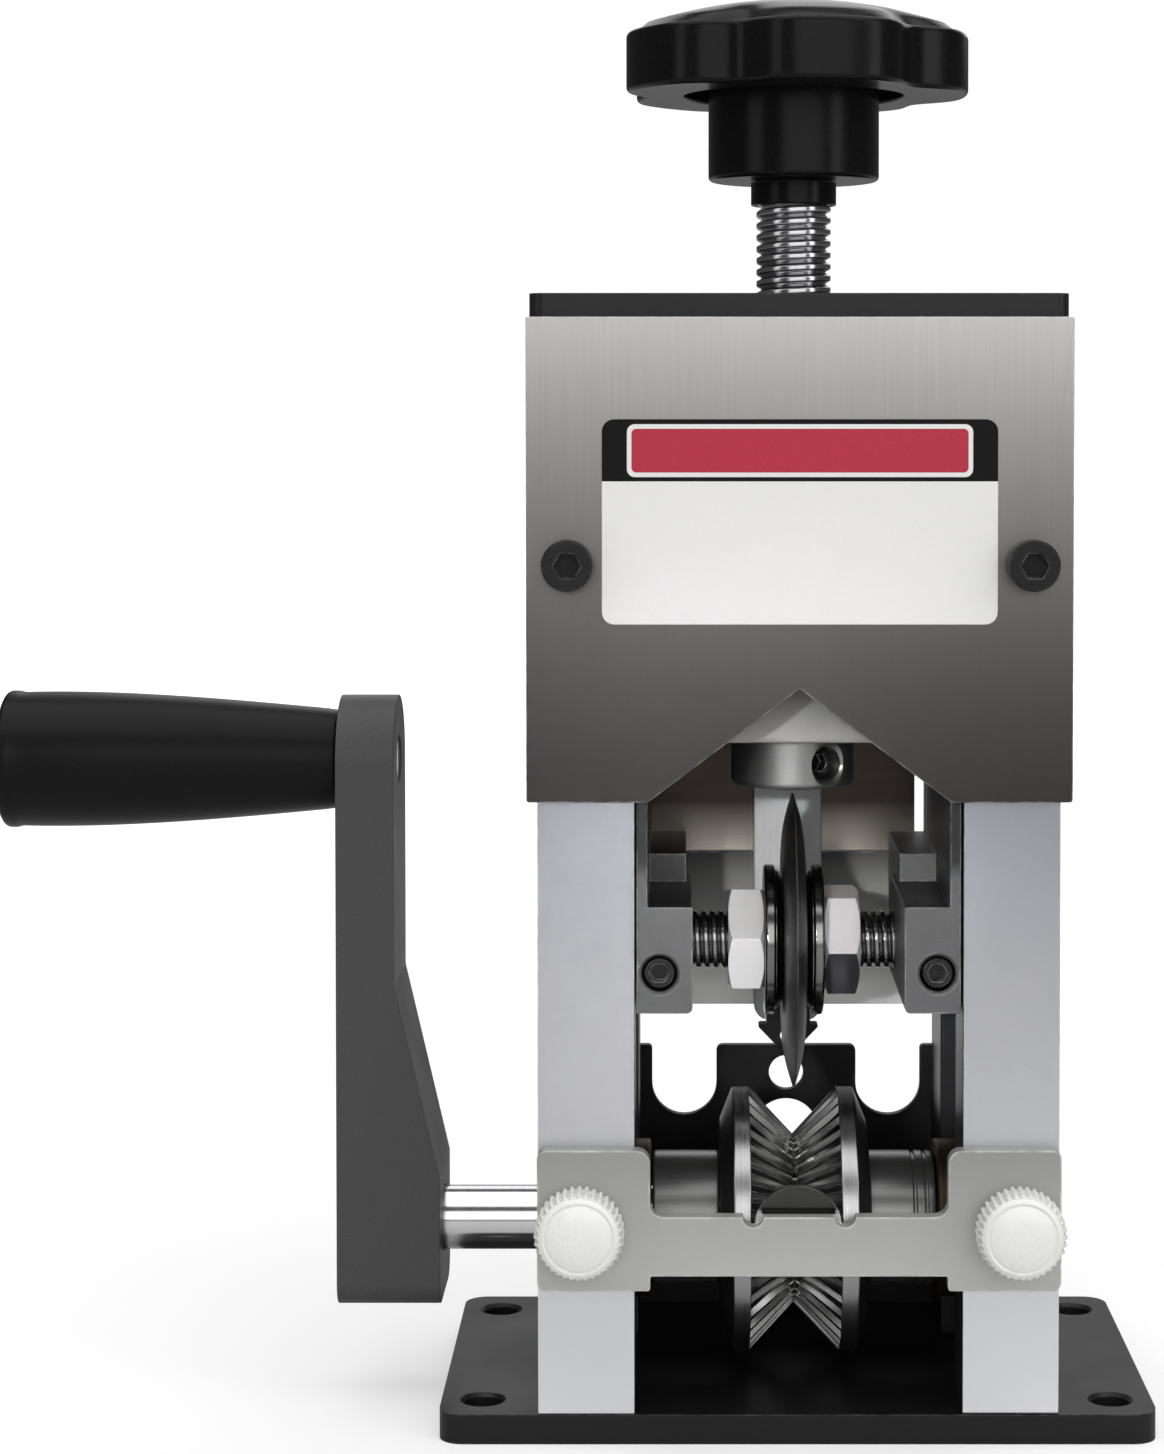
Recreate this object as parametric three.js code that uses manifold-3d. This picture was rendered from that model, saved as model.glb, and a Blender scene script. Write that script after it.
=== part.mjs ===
// Hand crank wire stripper. Two toothed discs on the crank shaft feed a cable under a round blade,
// and a screw with a star knob sets how deep the blade cuts.
// Lengths are in millimetres, angles in degrees where a name says so.
// X runs to the right, Y to the back and Z up, from the middle of the base plate's underside.

import * as THREE from "three";
import { mergeVertices } from "three/addons/utils/BufferGeometryUtils.js";
import Module from "manifold-3d";

const wasm = await Module();
wasm.setup();

// Clearances
const seat = 0.02;
const stackGap = 0.1;
const running = 0.3;
const screwGap = 0.3;

// Base plate
const baseWidth = 120;
const baseDepth = 68;
const baseThickness = 5;
const baseCorner = 4;
const benchHoleRadius = 3.3;
const benchHoleSideInset = 7;
const benchHoleEndInset = 8;

// Posts, which stand flush with the front of the base plate
const postGap = 54.4;
const postWidth = 16.1;
const postDepth = 64;
const postHeight = 181.26;
const postChamfer = 0.6;
const grooveWidth = 30;
const grooveDepth = 5;

// Axes of the feed shaft and the blade
const axisSetback = 29;
const driveRise = 25.5;
const bladeRestGap = 1;

// Top plate
const topPlateThickness = 4.98;
const topPlateSideOverhang = 1.3;
const topPlateRearOverhang = 2;
const topPlateCorner = 2.5;

// Front shield
const shieldThickness = 1.98;
const shieldHeight = 79.9;
const shieldSideOverhang = 1.7;
const shieldTopOverhang = 1.02;
const notchHalfWidth = 25;
const notchHeight = 18.8;
const shieldScrewRise = 39.2;
const shieldScrewOffset = 2.85;

// Front guide bar, its studs and its thumb knobs
const guideBarThickness = 2.98;
const guideBarHeight = 9.9;
const guideBarDrop = 1.55;
const guideEarWidth = 18.7;
const guideEarHeight = 23.4;
const guideEarDrop = 4;
const guideFillet = 2.2;
const guideOuterFillet = 1.5;
const guideLowerFillet = 0.4;
const guideNotchRadius = 1.7;
const guideLipRadius = 7.3;
const guideLipRise = 4.2;
const guideLipDepth = 2;
const guideLipThickness = 2.4;
const guideLedgeHalfWidth = 6.1;
const guideLedgeRise = 0.6;
const guideLedgeThickness = 1;
const guideStudOffset = 0.95;
const guideStudRise = 6.6;
const guideStudLength = 21;
const guideStudDepth = 12;
const thumbKnobRadius = 7.4;
const thumbKnobLength = 7.7;
const thumbKnobKnurl = 0.35;
const thumbKnobRidges = 16;
const thumbKnobFaceRadius = 4.4;
const thumbKnobFaceDrop = 0.3;

// Rear guide plate
const rearPlateThickness = 1.8;
const rearPlateInset = 3.3;
const rearPlateHeight = 48.6;
const rearPlateCorner = 1.5;
const rearNotchWidth = 12;
const rearNotchDepth = 13.1;
const rearNotchOffset = 19;
const upperGuideRadius = 3.2;
const upperGuideDrop = 5.2;
const lowerGuideRadius = 6;
const lowerGuideDrop = 16.1;
const rearScrewInset = 6.3;
const rearScrewRise = 25;

// Fasteners
const boltRadius = 2.5;
const boltHeadRadius = 4.25;
const boltHeadHeight = 5;
const boltLength = 16;
const boltHoleSpare = 2;
const sinkHeadRadius = 4.9;
const plateScrewLength = 14;
const plateScrewFrontInset = 7;
const plateScrewRearInset = 10;
const smallScrewRadius = 2;
const smallHeadRadius = 3.6;
const smallHeadHeight = 1.9;
const smallScrewLength = 9;
const setScrewRadius = 2.7;
const setScrewRecess = 1;

// Feed shaft, discs, spacers and bearings
const shaftRadius = 5.5;
const shaftEndRecess = 0.3;
const discHalfGap = 0.15;
const discWidth = 12.65;
const discConeWidth = 7.45;
const discRimWidth = 3;
const discRootRadius = 14;
const discRimRadius = 22.5;
const discBackRadius = 17;
const discTeeth = 44;
const discToothHeight = 1;
const discToothLeanDegrees = 1;
const spacerRadius = 11.5;
const bearingRadius = 10;
const bearingFlangeRadius = 13.5;
const bearingFlangeWidth = 7.4;

// Crank
const crankClearance = 1;
const crankHubWidth = 17.8;
const crankHeadWidth = 10;
const crankFootDrop = 13;
const crankHubRise = 9.4;
const crankNeckRise = 42.8;
const crankThrow = 80.7;
const crankEndRadius = 11.2;
const crankFootCorner = 4;
const crankShaftDepth = 15;
const spindleRadius = 4;
const spindleLength = 59.5;
const gripLength = 58.1;
const gripNeckRadius = 8.6;
const gripEndRadius = 11.9;
const gripEndRound = 3.8;
const gripBoreDepth = 51.5;

// Carriage
const cheekThickness = 1.8;
const cheekForward = 28.2;
const cheekBackward = 29.2;
const cheekDrop = 7.6;
const cheekRise = 48.5;
const armWidth = 9.3;
const armBackward = 9;
const armRise = 10.1;
const rearBlockWidth = 8.2;
const rearBlockRise = 15;
const axleSetScrewInset = 3.8;
const axleSetScrewDrop = 1;
const crossheadForward = 17;
const crossheadThickness = 12.3;
const crossheadScrewDepth = 10;
const crossheadScrewHeadHeight = 4;
const crossheadScrewWall = 0.6;
const webThickness = 4;
const webDrop = 17.1;
const webRise = 11.2;
const webScrewInset = 4.1;
const webScrewRise = 2.5;
const backPlateThickness = 2;
const backPlateHalfWidth = 23.5;
const backPlateGap = 0.3;
const backPlateScrewOffset = 15;
const splitterWidth = 12.4;
const splitterThickness = 3;
const splitterDrop = 19.6;
const splitterTopInset = 5;
const splitterCorner = 3;
const wedgeThickness = 3;
const wedgeTabHalfWidth = 4;
const wedgeTabHeight = 6;
const wedgeTabCorner = 1;
const wedgeHalfWidth = 6;
const wedgeTipHalfWidth = 1.2;
const wedgeHeight = 5;
const wedgeHoleRadius = 1.5;

// Blade and its axle
const bladeRadius = 25.5;
const bladeHubRadius = 13;
const bladeLandRadius = 16.5;
const bladeHubWidth = 3.7;
const bladeEdgeWidth = 0.2;
const bladeFlangeWidth = 3.15;
const flangeStepWidth = 1.35;
const flangeStepRadius = 12.1;
const flangeConeRise = 1.5;
const bushRadius = 7.7;
const axleRadius = 5;
const axlePitch = 1.5;
const axleThreadDepth = 0.75;
const nutAcrossFlats = 17;
const nutThickness = 6.2;
const nutBevelDepth = 1.6;
const nutBevelHeight = 0.9;
const leftNutTurnDegrees = 40;
const rightNutTurnDegrees = 25;

// Adjusting screw, retaining collar and star knob
const threadRadius = 6.45;
const threadPitch = 2;
const threadDepth = 0.85;
const threadLength = 79.5;
const screwTopLength = 14.5;
const journalRadius = 5;
const collarRadius = 10.8;
const collarHeight = 8.5;
const collarScrewTurnDegrees = 33;
const knobRadius = 30.2;
const knobLobes = 5;
const knobLobeDepth = 4.2;
const knobLobeTurnDegrees = 13;
const knobNeckRadius = 7.4;
const knobNeckHeight = 4.2;
const knobHubRadius = 14.8;
const knobHubHeight = 18.3;
const knobRecessRadius = 19;
const knobRecessDepth = 3.7;
const knobRimHeight = 11.2;
const knobEdgeRound = 1.2;
const knobDomeHeight = 5.2;

// Facets
const boreSides = 20;
const screwSides = 12;
const threadSides = 10;
const fineSides = 40;
const gripSteps = 4;
const knobSides = 40;
const filletSteps = 4;

// Places that follow from the sizes above
const postFront = -baseDepth / 2;
const postBack = postFront + postDepth;
const postInner = postGap / 2;
const postOuter = postInner + postWidth;
const postMiddle = postInner + postWidth / 2;
const postBottom = baseThickness + seat;
const postTop = postBottom + postHeight;
const grooveFloor = postInner + grooveDepth;
const axisY = postFront + axisSetback;
const driveZ = baseThickness + driveRise;
const bladeZ = driveZ + discRimRadius + bladeRestGap + bladeRadius;
const topPlateBottom = postTop + seat;
const topPlateTop = topPlateBottom + topPlateThickness;
const shieldBack = postFront - seat;
const shieldFront = shieldBack - shieldThickness;
const shieldTop = postTop + shieldTopOverhang;
const shieldBottom = shieldTop - shieldHeight;
const shieldScrewX = postMiddle + shieldScrewOffset;
const shieldScrewZ = shieldBottom + shieldScrewRise;
const guideBack = postFront - seat;
const guideFront = guideBack - guideBarThickness;
const thumbKnobStart = postFront - guideFront + running;
const guideStudX = postMiddle + guideStudOffset;
const guideStudZ = driveZ + guideStudRise;
const guideEarBottom = driveZ - guideEarDrop;
const guideBarBottom = driveZ - guideBarDrop;
const rearPlateFront = postBack + seat;
const rearPlateBack = rearPlateFront + rearPlateThickness;
const rearPlateTop = postBottom + rearPlateHeight;
const rearScrewX = postInner + rearScrewInset;
const rearScrewZ = postBottom + rearScrewRise;
const plateScrewRows = [postFront + plateScrewFrontInset, postBack - plateScrewRearInset];
const boltHole = boltRadius + screwGap;
const smallHole = smallScrewRadius + screwGap;
const setScrewHole = setScrewRadius + screwGap;
const shaftHole = shaftRadius + running;
const axleHole = axleRadius + running;
const journalHole = journalRadius + running;
const bushBore = axleRadius + running;
const bladeBore = bushRadius + running;
const discBack = discHalfGap + discWidth;
const flangeInner = grooveFloor - seat - bearingFlangeWidth;
const cheekOuter = postInner - running;
const cheekInner = cheekOuter - cheekThickness;
const cheekScrewSeat = cheekOuter + crossheadScrewWall;
const crossheadBottom = cheekRise - crossheadThickness;
const crossheadMiddle = cheekRise - crossheadThickness / 2;
const crossheadHalfWidth = cheekInner - seat;
const splitterBack = cheekBackward;
const splitterFront = splitterBack - splitterThickness;
const splitterTop = cheekRise - splitterTopInset;
const webFront = cheekBackward + seat;
const backPlateBottom = webRise + backPlateGap;
const flangeOuter = bladeHubWidth / 2 + stackGap + bladeFlangeWidth;
const nutInner = flangeOuter + stackGap;
const crankInner = -baseWidth / 2 - crankClearance;
const crankOuter = crankInner - crankHubWidth;
const spindleInner = crankOuter + crankHeadWidth - running;
const quarter = Math.PI / 2;

// Directions that a screw's head or a turned piece's far end can look
const facing = {
  up: [0, 0, 0],
  down: [Math.PI, 0, 0],
  front: [quarter, 0, 0],
  rear: [-quarter, 0, 0],
  right: [0, quarter, 0],
  left: [0, -quarter, 0],
};

// Geometry helpers

// A solid from a geometry whose shared corners are joined, with its faces turned outwards.
function solid(geometry) {
  const bare = new THREE.BufferGeometry();
  bare.setAttribute("position", geometry.getAttribute("position"));
  bare.setIndex(geometry.index);
  const merged = mergeVertices(bare, 1e-4);
  const corners = merged.index.array;
  const faces = [];
  for (let i = 0; i < corners.length; i += 3) {
    const [a, b, c] = corners.slice(i, i + 3);
    if (a !== b && b !== c && c !== a) faces.push(a, b, c);
  }
  const vertProperties = new Float32Array(merged.getAttribute("position").array);
  const outward = signedVolume(vertProperties, faces) > 0;
  const triVerts = new Uint32Array(outward ? faces : faces.reverse());
  return new wasm.Manifold(new wasm.Mesh({ numProp: 3, vertProperties, triVerts }));
}

function signedVolume(points, faces) {
  const corner = (i) => new THREE.Vector3().fromArray(points, faces[i] * 3);
  let volume = 0;
  for (let i = 0; i < faces.length; i += 3) {
    volume += corner(i).dot(corner(i + 1).cross(corner(i + 2))) / 6;
  }
  return volume;
}

function geometryOf(made) {
  const mesh = made.getMesh();
  const geometry = new THREE.BufferGeometry();
  geometry.setAttribute("position", new THREE.BufferAttribute(mesh.vertProperties, 3));
  geometry.setIndex(new THREE.BufferAttribute(mesh.triVerts, 1));
  return geometry;
}

function cut(body, tools) {
  return geometryOf(tools.reduce((left, tool) => left.subtract(solid(tool)), solid(body)));
}

function join(pieces) {
  return geometryOf(pieces.map(solid).reduce((whole, piece) => whole.add(piece)));
}

function within(body, envelope) {
  return geometryOf(solid(body).intersect(solid(envelope)));
}

// A pair of X limits on one side of the middle.
function sided(side, inner, outer) {
  return side > 0 ? [inner, outer] : [-outer, -inner];
}

function block([x0, x1], [y0, y1], [z0, z1]) {
  const box = new THREE.BoxGeometry(x1 - x0, y1 - y0, z1 - z0);
  return box.translate((x0 + x1) / 2, (y0 + y1) / 2, (z0 + z1) / 2);
}

// A round bar along an axis, through the point that the other two coordinates give.
function bar(axis, radius, [from, to], [first, second] = [0, 0], sides = boreSides) {
  const round = new THREE.CylinderGeometry(radius, radius, to - from, sides);
  const middle = (from + to) / 2;
  if (axis === "x") return round.rotateZ(quarter).translate(middle, first, second);
  if (axis === "y") return round.translate(first, middle, second);
  return round.rotateX(quarter).translate(first, second, middle);
}

// An outline whose corners [x, y, radius] are rounded where they have a radius.
function rounded(corners) {
  const points = [];
  corners.forEach(([x, y, radius = 0], i) => {
    const corner = new THREE.Vector2(x, y);
    if (radius === 0) {
      points.push(corner);
      return;
    }
    const last = corners[(i + corners.length - 1) % corners.length];
    const next = corners[(i + 1) % corners.length];
    const back = new THREE.Vector2(last[0], last[1]).sub(corner).normalize();
    const ahead = new THREE.Vector2(next[0], next[1]).sub(corner).normalize();
    const half = Math.acos(back.dot(ahead)) / 2;
    const reach = radius / Math.tan(half);
    const middle = back.clone().add(ahead).normalize().multiplyScalar(radius / Math.sin(half)).add(corner);
    const start = back.multiplyScalar(reach).add(corner).sub(middle);
    const end = ahead.multiplyScalar(reach).add(corner).sub(middle);
    const sweep = Math.atan2(start.cross(end), start.dot(end));
    for (let step = 0; step <= filletSteps; step += 1) {
      const spoke = start.clone().rotateAround(new THREE.Vector2(), (sweep * step) / filletSteps);
      points.push(spoke.add(middle));
    }
  });
  return points;
}

function rectangle([x0, x1], [y0, y1], radius = 0) {
  return rounded([[x0, y0, radius], [x1, y0, radius], [x1, y1, radius], [x0, y1, radius]]);
}

// A plate that lies flat: its outline in X and Y, its thickness in Z.
function slab(outline, [from, to]) {
  const shape = new THREE.Shape(outline);
  return new THREE.ExtrudeGeometry(shape, { depth: to - from, bevelEnabled: false }).translate(0, 0, from);
}

// A plate that stands: its outline in X and Z, its thickness in Y.
function panel(outline, [from, to]) {
  return slab(outline, [-to, -from]).rotateX(quarter);
}

// A form turned about Z from a profile of [radius, height] points.
function turned(profile, sides = boreSides) {
  const points = profile.map(([radius, height]) => new THREE.Vector2(radius, height));
  return new THREE.LatheGeometry(points, sides).rotateX(quarter);
}

// A turned form with lobes, ridges or teeth. Profile points are [radius, height, depth, lean]:
// the depth is taken off where dip(column) is 1, and the lean turns the point about the axis.
function shaped(profile, sides, dip, startAngle = 0) {
  const form = turned(profile, sides);
  const position = form.getAttribute("position");
  for (let i = 0; i < position.count; i += 1) {
    const column = Math.floor(i / profile.length) % sides;
    const [radius, height, depth = 0, lean = 0] = profile[i % profile.length];
    const angle = startAngle + lean + (column / sides) * 2 * Math.PI;
    const reach = radius - depth * dip(column);
    position.setXYZ(i, reach * Math.cos(angle), reach * Math.sin(angle), height);
  }
  return form;
}

// A screw thread about Z: rows half a pitch apart, root and crest in turn, wound one pitch a turn.
function thread(crest, root, pitch, [from, to]) {
  const rows = 2 * Math.ceil((to - from) / pitch) + 5;
  const bottom = from - pitch;
  const points = [];
  for (let row = 0; row < rows; row += 1) {
    const radius = row % 2 ? crest : root;
    for (let column = 0; column < threadSides; column += 1) {
      const turn = column / threadSides;
      const angle = turn * 2 * Math.PI;
      points.push(radius * Math.cos(angle), radius * Math.sin(angle), bottom + (row / 2 + turn) * pitch);
    }
  }
  const lowest = points.length / 3;
  points.push(0, 0, bottom + pitch / 2, 0, 0, bottom + ((rows - 1) / 2) * pitch);
  const at = (row, column) => (column < threadSides ? row * threadSides + column : (row + 2) * threadSides);
  const faces = [];
  for (let row = 0; row < rows - 3; row += 1) {
    for (let column = 0; column < threadSides; column += 1) {
      faces.push(at(row, column), at(row, column + 1), at(row + 1, column));
      faces.push(at(row + 1, column), at(row, column + 1), at(row + 1, column + 1));
    }
  }
  const loopFrom = (row) => {
    const loop = Array.from({ length: threadSides + 1 }, (unused, column) => at(row, column));
    return [...loop, at(row + 1, 0)];
  };
  const foot = loopFrom(0);
  const head = loopFrom(rows - 3);
  foot.forEach((corner, i) => faces.push(lowest, foot[(i + 1) % foot.length], corner));
  head.forEach((corner, i) => faces.push(lowest + 1, corner, head[(i + 1) % head.length]));
  const geometry = new THREE.BufferGeometry();
  geometry.setAttribute("position", new THREE.Float32BufferAttribute(points, 3));
  geometry.setIndex(faces);
  return geometry;
}

// A hexagonal bar about Z, its size measured across the flats.
function hexagon(acrossFlats, [from, to], turn = 0) {
  const corner = acrossFlats / 2 / Math.cos(Math.PI / 6);
  return bar("z", corner, [from, to], [0, 0], 6).rotateZ(turn);
}

// Screws stand along Z with their heads up, and the height 0 is where the head bears.
function socketed(profile, top, acrossFlats, depth) {
  return cut(turned(profile, screwSides), [hexagon(acrossFlats, [top - depth, top + 1])]);
}

function capScrew(radius, length, headRadius, headHeight) {
  const edge = 0.4;
  const profile = [
    [0, -length],
    [radius, -length],
    [radius, seat],
    [headRadius, seat],
    [headRadius, headHeight - edge],
    [headRadius - edge, headHeight],
    [0, headHeight],
  ];
  return socketed(profile, headHeight, radius * 1.6, headHeight * 0.5);
}

function sinkScrew() {
  const coneDepth = sinkHeadRadius - boltRadius;
  const profile = [
    [0, -plateScrewLength],
    [boltRadius, -plateScrewLength],
    [boltRadius, -coneDepth],
    [sinkHeadRadius, 0],
    [0, 0],
  ];
  return socketed(profile, 0, boltRadius * 1.2, coneDepth * 0.6);
}

// What a sunk screw needs cut out of its plate: a hole and a cone, with their gap all round.
function sinkHole() {
  const mouth = sinkHeadRadius + 2 * screwGap;
  const profile = [
    [0, -plateScrewLength],
    [boltHole, -plateScrewLength],
    [boltHole, boltHole - mouth],
    [mouth, 0],
    [mouth, 1],
    [0, 1],
  ];
  return turned(profile, screwSides);
}

function buttonScrew(length) {
  const profile = [
    [0, -length],
    [smallScrewRadius, -length],
    [smallScrewRadius, seat],
    [smallHeadRadius, seat],
    [smallHeadRadius, smallHeadHeight * 0.3],
    [smallHeadRadius * 0.6, smallHeadHeight],
    [0, smallHeadHeight],
  ];
  return socketed(profile, smallHeadHeight, smallScrewRadius * 1.2, smallHeadHeight * 0.6);
}

// A set screw from its point up to its socket end.
function setScrew(from, to) {
  const tip = 0.8;
  const profile = [
    [0, from],
    [setScrewRadius - tip, from],
    [setScrewRadius, from + tip],
    [setScrewRadius, to],
    [0, to],
  ];
  return socketed(profile, to, setScrewRadius * 1.1, 2);
}

function ring(inner, outer, [from, to], sides = boreSides) {
  return turned([[inner, from], [outer, from], [outer, to], [inner, to], [inner, from]], sides);
}

// Materials and placing

function finish(color, roughness, metalness) {
  return new THREE.MeshStandardMaterial({ color, roughness, metalness });
}

const blackPaint = finish(0x141416, 0.5, 0);
const anodised = finish(0xb9bcc4, 0.35, 1);
const brushedSteel = finish(0x8c8884, 0.35, 1);
const warmGreyPaint = finish(0x96968e, 0.5, 0);
const carriageSteel = finish(0x4a4a4a, 0.45, 1);
const paleSteel = finish(0xb4b2ae, 0.4, 1);
const polishedSteel = finish(0xc8c8c8, 0.15, 1);
const blackOxide = finish(0x222224, 0.35, 1);
const zinc = finish(0xb0b2b4, 0.25, 1);
const bronze = finish(0x9a7440, 0.4, 1);
const crankPaint = finish(0x2b2b2d, 0.5, 0);
const glossPlastic = finish(0x101010, 0.25, 0);
const satinPlastic = finish(0x161616, 0.45, 0);
const whitePlastic = finish(0xeeeeea, 0.35, 0);

function place(group, name, geometry, material, position = [0, 0, 0], turn = facing.up) {
  const mesh = new THREE.Mesh(geometry, material);
  mesh.name = name;
  mesh.position.set(...position);
  mesh.rotation.set(...turn);
  group.add(mesh);
}

function groupAt(parent, position) {
  const group = new THREE.Group();
  group.position.set(...position);
  parent.add(group);
  return group;
}

const sides = [
  { side: -1, label: "left" },
  { side: 1, label: "right" },
];

// Frame: base plate, posts, top plate and what is screwed to them

function basePlate() {
  const plate = slab(
    rectangle([-baseWidth / 2, baseWidth / 2], [-baseDepth / 2, baseDepth / 2], baseCorner),
    [0, baseThickness],
  );
  const tools = [];
  for (const { side } of sides) {
    for (const end of [-1, 1]) {
      const x = side * (baseWidth / 2 - benchHoleSideInset);
      const y = end * (baseDepth / 2 - benchHoleEndInset);
      tools.push(bar("z", benchHoleRadius, [-1, baseThickness + 1], [x, y]));
    }
    for (const y of plateScrewRows) {
      tools.push(sinkHole().rotateX(Math.PI).translate(side * postMiddle, y, 0));
    }
  }
  return cut(plate, tools);
}

function post(side) {
  const chamfer = postChamfer;
  const grooveFront = axisY - grooveWidth / 2;
  const grooveBack = axisY + grooveWidth / 2;
  const outline = [
    [postInner + chamfer, postFront],
    [postOuter - chamfer, postFront],
    [postOuter, postFront + chamfer],
    [postOuter, postBack - chamfer],
    [postOuter - chamfer, postBack],
    [postInner + chamfer, postBack],
    [postInner, postBack - chamfer],
    [postInner, grooveBack],
    [grooveFloor, grooveBack],
    [grooveFloor, grooveFront],
    [postInner, grooveFront],
    [postInner, postFront + chamfer],
  ].map(([x, y]) => new THREE.Vector2(side * x, y));
  const shieldHoleEnd = shieldFront + boltLength + boltHoleSpare;
  const studHoleEnd = postFront + guideStudDepth + 0.5;
  const rearHoleEnd = postBack - smallScrewLength;
  const tools = [
    bar("x", bearingRadius + screwGap, sided(side, postInner, postOuter + 1), [axisY, driveZ]),
    bar("y", boltHole, [postFront - 1, shieldHoleEnd], [side * shieldScrewX, shieldScrewZ], screwSides),
    bar("y", boltHole, [postFront - 1, studHoleEnd], [side * guideStudX, guideStudZ], screwSides),
    bar("y", smallHole, [rearHoleEnd, postBack + 1], [side * rearScrewX, rearScrewZ], screwSides),
  ];
  const holeDepth = plateScrewLength - baseThickness + boltHoleSpare;
  for (const y of plateScrewRows) {
    const middle = [side * postMiddle, y];
    tools.push(bar("z", boltHole, [postBottom - 1, postBottom + holeDepth], middle, screwSides));
    tools.push(bar("z", boltHole, [postTop - holeDepth, postTop + 1], middle, screwSides));
  }
  return cut(slab(outline, [postBottom, postTop]), tools);
}

function topPlate() {
  const halfWidth = postOuter + topPlateSideOverhang;
  const plate = slab(
    rectangle([-halfWidth, halfWidth], [postFront, postBack + topPlateRearOverhang], topPlateCorner),
    [topPlateBottom, topPlateTop],
  );
  const tools = [bar("z", threadRadius + running, [topPlateBottom - 1, topPlateTop + 1], [0, axisY])];
  for (const { side } of sides) {
    for (const y of plateScrewRows) {
      tools.push(sinkHole().translate(side * postMiddle, y, topPlateTop));
    }
  }
  return cut(plate, tools);
}

function frontShield() {
  const halfWidth = postOuter + shieldSideOverhang;
  const outline = rounded([
    [-halfWidth, shieldBottom],
    [-notchHalfWidth, shieldBottom],
    [0, shieldBottom + notchHeight],
    [notchHalfWidth, shieldBottom],
    [halfWidth, shieldBottom],
    [halfWidth, shieldTop],
    [-halfWidth, shieldTop],
  ]);
  const span = [shieldFront - 1, shieldBack + 1];
  const tools = sides.map(({ side }) => bar("y", boltHole, span, [side * shieldScrewX, shieldScrewZ]));
  return cut(panel(outline, [shieldFront, shieldBack]), tools);
}

function guideBar() {
  const earTop = guideEarBottom + guideEarHeight;
  const barTop = guideBarBottom + guideBarHeight;
  const earInner = postOuter - guideEarWidth;
  const right = [
    [earInner, guideBarBottom, guideLowerFillet],
    [earInner, guideEarBottom],
    [postOuter, guideEarBottom, guideOuterFillet],
    [postOuter, earTop, guideOuterFillet],
    [earInner, earTop, guideFillet],
    [earInner, barTop, guideFillet],
  ];
  const left = right.map(([x, z, radius]) => [-x, z, radius]).reverse();
  const span = [guideFront - 1, guideBack + 1];
  const notchX = discHalfGap + discConeWidth;
  const tools = sides.flatMap(({ side }) => [
    bar("y", boltHole, span, [side * guideStudX, guideStudZ]),
    bar("y", guideNotchRadius, span, [side * notchX, barTop], screwSides),
  ]);
  const body = cut(panel(rounded([...right, ...left]), [guideFront, guideBack]), tools);
  return join([body, guideLip(barTop)]);
}

// The arched lip behind the bar, between the discs, and the ledge at its foot.
function guideLip(barTop) {
  const foot = barTop - guideLipDepth;
  const top = barTop + guideLipRise;
  const lipBack = guideBack + guideLipThickness;
  const arch = bar("y", guideLipRadius, [guideBack - 1, lipBack], [0, top - guideLipRadius], fineSides);
  const above = block([-guideLipRadius, guideLipRadius], [guideBack - 2, lipBack + 1], [foot, top + 1]);
  const front = block(
    [-guideLipRadius, guideLipRadius],
    [guideBack, guideBack + guideLedgeThickness],
    [barTop, top + 1],
  );
  const ledge = block(
    [-guideLedgeHalfWidth, guideLedgeHalfWidth],
    [guideBack - 1, guideBack + guideLedgeThickness + 0.1],
    [foot, barTop + guideLedgeRise],
  );
  return join([cut(within(arch, above), [front]), ledge]);
}

function rearGuidePlate() {
  const halfWidth = postOuter - rearPlateInset;
  const notchInner = rearNotchOffset - rearNotchWidth / 2;
  const notchOuter = rearNotchOffset + rearNotchWidth / 2;
  const outline = rounded([
    [-halfWidth, postBottom],
    [halfWidth, postBottom],
    [halfWidth, rearPlateTop, rearPlateCorner],
    [-halfWidth, rearPlateTop, rearPlateCorner],
  ]);
  const span = [rearPlateFront - 1, rearPlateBack + 1];
  const notchMiddle = rearPlateTop - rearNotchDepth + rearNotchWidth / 2;
  const notchOutline = (side) => {
    const [low, high] = sided(side, notchInner, notchOuter);
    return rounded([
      [low, rearPlateTop + 1],
      [low, notchMiddle - rearNotchWidth / 2, rearNotchWidth / 2 - 0.01],
      [high, notchMiddle - rearNotchWidth / 2, rearNotchWidth / 2 - 0.01],
      [high, rearPlateTop + 1],
    ]);
  };
  const tools = sides.flatMap(({ side }) => [
    panel(notchOutline(side), span),
    bar("y", smallHole, span, [side * rearScrewX, rearScrewZ], screwSides),
  ]);
  tools.push(bar("y", upperGuideRadius, span, [0, rearPlateTop - upperGuideDrop]));
  tools.push(bar("y", lowerGuideRadius, span, [0, rearPlateTop - lowerGuideDrop]));
  return cut(panel(outline, [rearPlateFront, rearPlateBack]), tools);
}

// A bearing along Z from the groove's floor outwards, with its flange towards the discs.
function bearing() {
  const profile = [
    [shaftHole, -bearingFlangeWidth - seat],
    [bearingFlangeRadius, -bearingFlangeWidth - seat],
    [bearingFlangeRadius, -seat],
    [bearingRadius, -seat],
    [bearingRadius, postOuter - grooveFloor],
    [shaftHole, postOuter - grooveFloor],
    [shaftHole, -bearingFlangeWidth - seat],
  ];
  return turned(profile, boreSides);
}

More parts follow.
